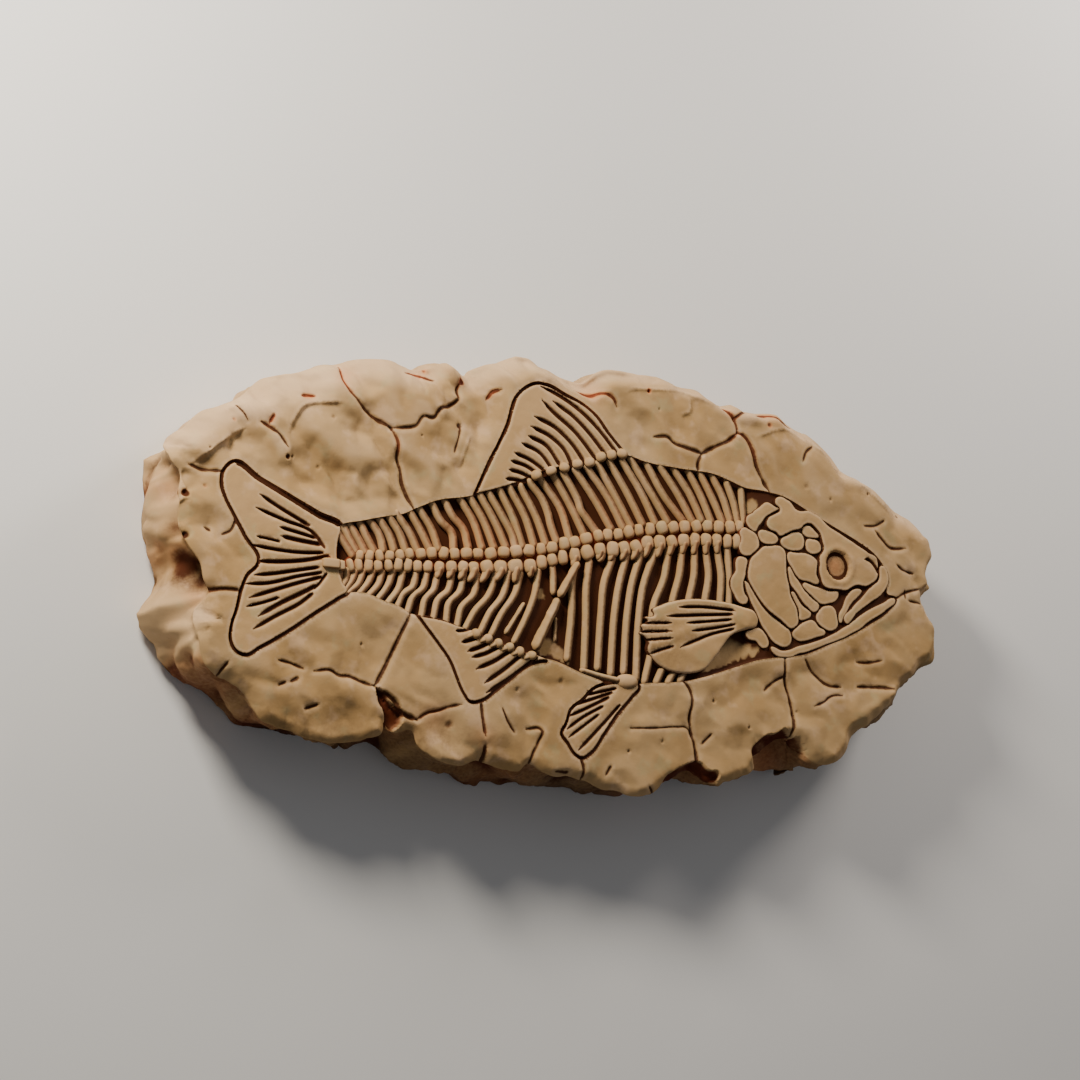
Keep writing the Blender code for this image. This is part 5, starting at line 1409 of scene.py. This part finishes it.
# Middles of the knobs that the fins sit on, and the height of their tops
BACK_FIN_KNOBS = [
    (-12.75, 26.25), (-8, 28), (-3.75, 29.5), (0.5, 31), (4.5, 32), (8.25, 34), (11.75, 35), (15.25, 35.75),
]
BELLY_FIN_KNOBS = [
    (-31.75, -20.25), (-28, -21.25), (-24.75, -22.25), (-21.25, -23), (-18, -24), (-14.25, -24.75),
]
KNOB_HIGH = 26.6
PELVIC_KNOB = (16.5, -29.5, 25.2)
PELVIC_KNOB_SIZE = (4.3, 2.6, 1.9)
PELVIC_BONE = [(1.2, -27.3), (7, -28.5), (14, -29.5)]


def relief_plate(outline, high, foot, round_edge, crown, spacing, grooves=(), shape=None):
    """A plate with a rounded edge and a crowned top; shape(places) gives more height and more wash and shade.
    Its sides and slits are painted dark with wash and painted shade, its edges and the slits' lips pale as
    wear and painted highlight.
    """
    outline = counter_clockwise(outline)
    inner = (0.08, 0.22, 0.42, 0.7, 1.05, 1.5)
    points = [rows_beside(outline, inner, closed=True)]
    for width, _, path in grooves:
        half = width / 2
        across = (0, half * 0.5, -half * 0.5, half, -half, half + 0.35, -half - 0.35)
        points.append(rows_beside(path, across))
    points.append(grid_points(outline.min(0), outline.max(0), spacing, 5))
    points = thinned(np.vstack(points), 0.2)
    deep = depth_inside(points, outline, 2)
    places, triangles, ring = filled(outline, points[deep > 0.06])
    deep = np.clip(depth_inside(places, outline, 6), 0, 6)
    x, y = places.T
    share = np.clip(deep / round_edge, 0, 1)
    height = high - round_edge * (1 - np.sqrt(1 - (1 - share) ** 2))
    height += crown * (np.sqrt(np.clip(deep / 6, 0, 1)) - 1)
    height += 0.06 * waves(x / 3.1, y / 3.1, 61) + 0.03 * waves(x / 1.2, y / 1.2, 62)
    # Wash and painted shade where the edge rounds down
    wash = smooth_step(0.2, 0.04, deep)
    # Pale along the edge: wear and painted highlight
    worn = 0.7 * smooth_step(0.1, 0.35, deep) * smooth_step(1.1, 0.5, deep)
    for width, depth, path in grooves:
        near, distance, share, _ = near_path(places, path, width / 2 + 1.2)
        taper = smooth_step(-0.06, 0.18, share) * (0.45 + 0.55 * smooth_step(1.02, 0.95, share))
        half = width / 2 * taper
        height[near] -= depth * taper * smooth_step(half + 0.12, half * 0.2, distance)
        height[near] -= 0.16 * taper * smooth_step(1.2, 0, distance - half)
        # Wash and painted shade in the slits
        dark = smooth_step(half + 0.22, half * 0.55, distance) * smooth_step(0, 0.12, taper)
        wash[near] = np.maximum(wash[near], dark)
        # Pale along the slits' lips: wear and painted highlight
        worn[near] += 0.6 * smooth_step(0.1, 0.3, distance - half) * smooth_step(0.9, 0.45, distance - half)
    if shape:
        more, more_wash = shape(places)
        height += more
        wash = np.maximum(wash, more_wash)
    height = np.minimum(height, HIGHEST)
    height[ring] = height[ring].min()
    edge = height[ring]
    rows = [np.column_stack([places[ring], edge + (foot - edge) * part]) for part in (0.35, 1)]
    mesh = block_from_rows(np.column_stack([places, height]), triangles, ring, rows)
    # The sides are painted dark all over: wash and painted shade
    sides = np.ones(2 * len(ring) + 1)
    everywhere = np.vstack([places, places[ring], places[ring], places[:1]])
    stain = lumps_at(everywhere, RED_BONES)
    paint(mesh, wash=np.append(wash, sides), worn=np.append(worn, sides * 0), stain=stain)
    return mesh


def as_grooves(slits, depth, wider=1.0):
    return [(width * wider, depth, smooth_path(places, 0.35)) for width, places in slits]


def inset(outline, distance, wide_side=(0, 0), extra=0.0):
    """An outline moved inwards, further on the side that faces the given way, with no loops."""
    outline = counter_clockwise(outline)
    inward = left_normals(outline, closed=True)
    reach = distance + extra * smooth_step(0.8, 0.95, -inward @ np.array(wide_side))
    moved = outline + inward * reach[:, None]
    clear = depth_inside(moved, outline, distance + extra + 1)
    return moved[clear > np.minimum(reach * 0.94, distance + 0.5)]


def knobbed_edge(edge, side, knobs, lift, root):
    """A fin's outline: the free edge, set back to one side, and the base along the knobs and the root."""
    base = [(x, y + lift) for x, y in knobs[::-1]] + root
    return np.vstack([rows_beside(smooth_path(edge, 0.4), (side * FIN_SETBACK,)), smooth_path(base, 0.4)])


def make_knobs(knobs, half, chance_seed):
    chance = np.random.default_rng(chance_seed)
    places = [(x, y, KNOB_HIGH - half * 0.75) for x, y in knobs]
    sizes = [half * np.array([chance.uniform(1.1, 1.35), chance.uniform(1.1, 1.3), 1.0]) for _ in knobs]
    return make_blocks(places, sizes, chance.uniform(-0.5, 0.5, len(knobs)), squareness=0.1)


back_root = [(-19.2, 23.4), (-25.5, 20.9), (-31.6, 18.9)]
belly_root = [(-37, -18.6), (-42, -17.5), (-49, -17)]
tail_edge = inset(smooth_path(TAIL_EDGE, 0.4, closed=True), FIN_SETBACK, wide_side=(0.41, 0.91), extra=0.8)
back_edge = knobbed_edge(BACK_FIN_EDGE, -1, BACK_FIN_KNOBS, 0.5, back_root)
belly_edge = knobbed_edge(BELLY_FIN_EDGE, 1, BELLY_FIN_KNOBS, 0.8, belly_root)
pelvic_edge = inset(smooth_path(PELVIC_FIN_EDGE, 0.4, closed=True), FIN_SETBACK)
# Name, outline, slits and their depth, node
FIN_PLATES = [
    ("tail_fan", tail_edge, as_grooves(TAIL_SLITS, 0.95, wider=1.2), "tail_fin"),
    ("back_fin_fan", back_edge, as_grooves(BACK_FIN_SLITS, 1.25), "back_fin"),
    ("belly_fin_fan", belly_edge, as_grooves(BELLY_FIN_SLITS, 1.15), "belly_fin"),
    ("pelvic_fin_fan", pelvic_edge, as_grooves(PELVIC_FIN_SLITS, 0.95), "pelvic_fin"),
]
for name, edge, grooves, node in FIN_PLATES:
    add_bone(name, relief_plate(edge, FIN_HIGH, FIN_FOOT, 0.4, 0.25, 0.6, grooves), node)
add_bone("back_fin_knobs", make_knobs(BACK_FIN_KNOBS, 1.45, 4), "back_fin")
add_bone("belly_fin_knobs", make_knobs(BELLY_FIN_KNOBS, 1.3, 5), "belly_fin")
heads = [bone_line([(x, y), (x - 2.8, y - 1.1)], 1.0, 0.6, 25.5, 25.4, 0.2) for x, y in BELLY_FIN_KNOBS]
add_bone("belly_fin_heads", make_rods(heads), "belly_fin")
add_bone("pelvic_knob", make_blocks([PELVIC_KNOB], [PELVIC_KNOB_SIZE], [0.05], squareness=0.0), "pelvic_fin")
add_bone("pelvic_bone", make_rods([bone_line(PELVIC_BONE, 0.75, 0.9, 25.2, 25.6, 0)]), "pelvic_fin")

# The side fin lies on top of the ribs: a broad fan with a smooth lobe at its root, five slits
# and a scalloped hind edge.
SIDE_FIN_HIGH = 26.6
SIDE_FIN_FOOT = 24.8
SIDE_FIN_RIDGE = [(25, -17.5), (33, -14.5), (41, -11.5), (47, -9.5)]
SIDE_FIN_EDGE = [
    (60.75, -8.25), (59.75, -5.9), (55.5, -4.6), (50, -3.75), (44.5, -3.5), (38.75, -3.75), (33, -4.75),
    (28, -6.5), (25, -8.5), (25.5, -9.5), (22.5, -10.75), (23.5, -11.5), (21, -13.25), (21.75, -14.25),
    (20.5, -15.25), (22.25, -16.25), (23.5, -17.5), (23.25, -19.5), (24.75, -22), (28, -24.5),
    (32.75, -25.75), (37.75, -25.5), (42.25, -24), (45.25, -21), (48.25, -17), (51.75, -13.2),
    (56.75, -11.2), (60.25, -9.75),
]
SIDE_FIN_SLITS = [
    (0.8, [(33.5, -6.8), (42.5, -6), (52, -6)]),
    (0.9, [(29.5, -9.8), (40.5, -8.5), (51.5, -7.2)]),
    (0.7, [(36, -11.2), (44, -10), (51, -8.8)]),
    (0.7, [(37.5, -13.4), (44.5, -12), (52, -10.2)]),
    (0.8, [(34, -18.2), (38, -16.4), (44.5, -13.6), (52, -11.4)]),
    (0.5, [(31, -11.6), (26.5, -11.9), (22.5, -12.3)]),
    (0.5, [(30.5, -14), (26, -14.4), (21.5, -14.9)]),
    (0.5, [(31, -16), (26.5, -16.6), (22.5, -17.2)]),
    (0.5, [(31.5, -18.2), (28, -19.4), (24.5, -20.8)]),
]


def side_fin_shape(places):
    """The fin sinks towards its hind edge and swells along a ridge below the slits."""
    x, y = places.T
    near, distance, _, _ = near_path(places, smooth_path(SIDE_FIN_RIDGE), 5)
    more = -0.5 * smooth_step(40, 22, x) + 0.5 * np.exp(-((places - (56, -8.5)) ** 2).sum(1) / 12)
    more[near] += 0.28 * smooth_step(2.6, 0, distance)
    more -= 0.3 * smooth_step(-18, -25, y)
    more += 0.2 * chips(x / 4, y / 4, 71)
    return more, 0.32 * smooth_step(44, 30, x) * smooth_step(-7, -13, y)


side_fin = relief_plate(smooth_path(SIDE_FIN_EDGE, 0.35, closed=True), SIDE_FIN_HIGH, SIDE_FIN_FOOT, 0.9, 0.4,
                        0.6, as_grooves(SIDE_FIN_SLITS, 0.9), side_fin_shape)
add_bone("side_fin_fan", side_fin, "side_fin")

# The head is a mosaic of petrified skull, cheek, gill and jaw bones, each its own rounded plate,
# with a narrow gap to the next, painted dark with wash and painted shade. The eye is a domed disc
# in a ring of the skull roof.
EYE = (89.2, 10.9)
EYE_RADIUS = 3.35
EYE_PIT_RADIUS = 4.2
EYE_RING_RADIUS = 5.3
EYE_HIGH = 25.1
EYE_FOOT = 22.9
BONE_FOOT = 22.7
# The gap that is left between two bones of the head
BONE_GAP = 0.4
NOSTRIL_GROOVE = [(98.8, 13.7), (100.1, 13.8), (101.5, 13.2), (102.9, 11.9), (104.1, 10.2)]
# Each bone: the node it stands for, height, outline
HEAD_BONES = [
    ("skull_roof", 26.3, [
        (67.75, 28), (69.25, 28.5), (71.5, 27.5), (74, 26.5), (80.4, 24.4), (89.6, 20.9), (96.6, 17.7),
        (101.4, 15), (103.8, 12), (103.4, 9), (100, 6.4), (96.4, 6.4), (91.6, 4.4), (86.4, 3.8), (83.6, 5),
        (82.6, 7.4), (82.8, 12.6), (84.4, 15.4), (84, 17.8), (83.25, 20.25), (80, 23), (78.25, 22.75),
        (75.75, 21), (73, 20), (70.5, 18.8), (68.75, 17.9), (67.5, 18.6), (65.75, 19), (64.75, 20.5),
        (65.25, 22), (67, 23.5), (68.75, 25.5), (67.5, 27.25)]),
    ("temple_bone", 25.9, [
        (69.5, 16), (71.75, 17.75), (74.25, 19), (76.75, 18.75), (77.5, 17.25), (77.25, 16), (75.25, 14.25),
        (73.5, 13.7), (71.5, 14.2)]),
    ("orbit_bone", 25.8, [(78.4, 17.5), (82.8, 17), (83.4, 15.6), (78.6, 15.1)]),
    ("nape_crescent", 25.8, [
        (58, 20.75), (59.75, 24), (63, 25.9), (67.75, 26.2), (69, 26), (65.75, 24.5), (63, 23), (60.9, 20.5),
        (60.25, 18.2), (58.5, 19)]),
    ("neck_bone", 26.1, [
        (56.25, 18), (58, 18.25), (60.25, 17.4), (61.1, 15.5), (61.1, 13.75), (59.5, 11.5), (57.75, 10.75),
        (55.8, 11.25), (55.5, 13), (55.7, 15.6)]),
    ("nape_bone", 25.9, [
        (61.6, 17.5), (64, 18.4), (66.6, 18.3), (68.1, 16.7), (67.5, 15.5), (64.25, 15), (62.3, 16)]),
    ("gill_cover", 26.4, [
        (58.2, 9.2), (60.8, 12.2), (64.6, 14), (68, 14.6), (70.2, 13.4), (70.8, 9.2), (71, 4.8), (72.6, 0),
        (74.6, -4.2), (74.6, -7.8), (72.4, -9.4), (68.4, -7.1), (64.2, -4.5), (60.8, -0.7), (58.5, 2.5),
        (57.7, 4.4)]),
    ("shoulder_bone", 25.9, [
        (56.6, 3.1), (58.7, 0.9), (61.3, -2.7), (64.7, -5.9), (69.3, -8.5), (71.7, -10.3), (71.8, -12.8),
        (70, -14.4), (67.2, -13.6), (64.4, -10.6), (62, -6.6), (58.6, -1.4)]),
    ("shoulder_blade", 25.8, [
        (55.2, 9.8), (57.2, 9.8), (56.8, 5.4), (56, 2.6), (55.9, -1), (56.8, -2.3), (54.6, -2.3),
        (53.1, -0.2), (52.9, 2.8), (54.4, 5.4)]),
    ("cheek_plate", 25.9, [
        (71.8, 13), (75.8, 13), (80, 12.2), (81.8, 11.6), (81.6, 7.6), (82.8, 5.5), (79.2, 5.1), (75.2, 5.9),
        (72.8, 8.6)]),
    ("cheek_bar", 26.0, [
        (71.6, 8.7), (74.8, 5.2), (79, 0.6), (82.3, -2), (80.8, -3.7), (76.4, -1.1), (73.3, 2.8), (72, 5.8)]),
    ("gill_bar", 25.8, [(73, 1.7), (76.2, -2.1), (79.5, -4.4), (77.4, -6.3), (75.6, -6.5), (75.2, -3.6)]),
    ("cheek_lower", 25.8, [
        (76.8, 4.4), (81, 3.7), (86, 2.8), (89, 3.2), (85.8, -0.2), (83.4, -1), (79.9, 1)]),
    ("jaw_joint", 25.9, [
        (84, -2), (86.8, -2), (88.6, -4.2), (88.8, -6.8), (86.6, -8.3), (83.4, -7.9), (81.5, -5.4)]),
    ("lower_gill_cover", 25.8, [
        (75.7, -7.9), (80, -6.5), (82, -8.1), (84.3, -9.3), (81.2, -10.7), (74.8, -11.9), (73.1, -11.2)]),
    ("upper_jaw", 26.2, [
        (105, 12.4), (107.2, 8.2), (105, 4.6), (100.6, 1.2), (95.8, -2.4), (91.5, -6.1), (90.9, -5.2),
        (94.2, -1), (98, 2.6), (101, 5.6), (104, 8.2)]),
    ("temple_bone", 25.8, [
        (77.25, 20), (78.75, 21.5), (80.75, 20.25), (82.5, 18.75), (81.75, 18.4), (78, 18.8)]),
    ("tooth_bone", 25.8, [
        (90.8, -1.6), (95.4, 4.4), (97.3, 4.5), (93.6, -0.6), (91.4, -4.3), (89.9, -6.2), (89.3, -4.2)]),
    ("lower_jaw", 26.0, [
        (110, 2.6), (105.6, 0.9), (99.8, -1.7), (93.8, -5.5), (88, -9.3), (81.5, -12.3), (75, -14.6),
        (71.6, -15.9), (68.8, -16.4), (65.2, -15.9), (66.4, -17.1), (70.2, -17.6), (76.2, -15.8),
        (84.4, -12.7), (92.8, -9), (100.2, -4.8), (107, -0.5)]),
    ("throat_bone", 25.8, [
        (56.4, -12.4), (60.6, -11.2), (62.4, -12.4), (63.6, -14.8), (60.6, -14.2), (57.2, -13.6)]),
]


def skull_shape(places):
    """The eye's pit with its raised ring, and the nostril's groove."""
    away = np.hypot(*(places - EYE).T)
    more = 0.2 * np.exp(-((away - EYE_RING_RADIUS) / 0.75) ** 2)
    pit = smooth_step(EYE_PIT_RADIUS + 0.25, EYE_PIT_RADIUS - 0.35, away)
    more -= 3.2 * pit
    # The eye's pit is painted dark: wash and painted shade
    wash = smooth_step(EYE_PIT_RADIUS + 0.15, EYE_PIT_RADIUS - 0.25, away)
    x, y = places.T
    more += 0.25 * chips(x / 7, y / 7, 81) + 0.1 * chips(x / 3, y / 3, 82)
    return more, wash


def bone_shape(places):
    x, y = places.T
    return 0.2 * chips(x / 5, y / 5, 91), np.zeros(len(places))


def gill_cover_shape(places):
    """A flat facet at the upper left, beyond a blunt ridge."""
    x, y = places.T
    across = (x - 63.4) * 0.85 + (y - 5) * 0.25
    return -0.5 * smooth_step(0, -4.5, across) - 0.35 * smooth_step(0, 6, across), np.zeros(len(places))


MOUTH_BONES = ("upper_jaw", "tooth_bone", "lower_jaw")


def grown(outlines, gap):
    """The outlines moved out where a neighbour is near, until only the gap is left between the two."""
    wider = []
    for i, outline in enumerate(outlines):
        others = np.vstack(outlines[:i] + outlines[i + 1:])
        away = np.sqrt(((outline[:, None] - others[None]) ** 2).sum(2)).min(1)
        reach = np.clip((away - gap) / 2, -0.3, 1.7) * smooth_step(4.8, 3.4, away)
        if HEAD_BONES[i][0] in MOUTH_BONES:
            reach *= 0.4
        reach = sum(np.roll(reach, k) for k in range(-4, 5)) / 9
        wider.append(outline - left_normals(outline, True) * reach[:, None])
    return wider


SHAPES = {"skull_roof": skull_shape, "gill_cover": gill_cover_shape}
head_outlines = [counter_clockwise(smooth_path(places, 0.3, closed=True)) for _, _, places in HEAD_BONES]
for i, outline in enumerate(grown(head_outlines, BONE_GAP)):
    name, high, _ = HEAD_BONES[i]
    grooves = [(1.2, 0.9, smooth_path(NOSTRIL_GROOVE, 0.3))] if name == "skull_roof" else []
    spacing = 0.45 if name == "skull_roof" else 0.55
    shape = SHAPES.get(name, bone_shape)
    mesh = relief_plate(outline, high, BONE_FOOT, 0.4, 0.2, spacing, grooves, shape)
    add_bone("%s_relief_%d" % (name, i), mesh, name)


def eye_shape(places):
    away = np.hypot(*(places - EYE).T)
    return 0.25 * (1 - (away / EYE_RADIUS) ** 2), np.full(len(places), 0.4)


eye = relief_plate(circle(EYE, EYE_RADIUS, 48), EYE_HIGH, EYE_FOOT, 0.5, 0.1, 0.5, shape=eye_shape)
add_bone("eye_dome", eye, "eye_disc")

# Loose among the ribs lie a bone that broke in two and two thin rib splinters, all of petrified
# bone. Each is a slightly lumpy rod that lies on the bed's floor or across the ribs.

# Each bone: name, places, radius at the start and the end, height of the middle
LOOSE_BONES = [
    ("broken_bone_upper", [(0.9, 3.0), (-2.4, -2.6), (-5.2, -7.4)], 1.0, 1.3, 25.2),
    ("broken_bone_lower", [(-5.3, -7.9), (-9.2, -15.4), (-12.9, -22.9)], 1.2, 1.6, 24.8),
    ("broken_rib_front", [(-5.4, -13), (-5.6, -16.6), (-5.75, -20)], 0.5, 0.6, 23.6),
    ("broken_rib_back", [(-15.5, -9.75), (-18.25, -14), (-21.5, -19)], 0.6, 0.7, 23.7),
]
for name, places, start, end, middle in LOOSE_BONES:
    lines = [bone_line(places, start, end, middle, middle - 0.2, 0.2)]
    add_bone(name + "_rod", make_rods(lines, unevenness=0.5, sides=14), name)
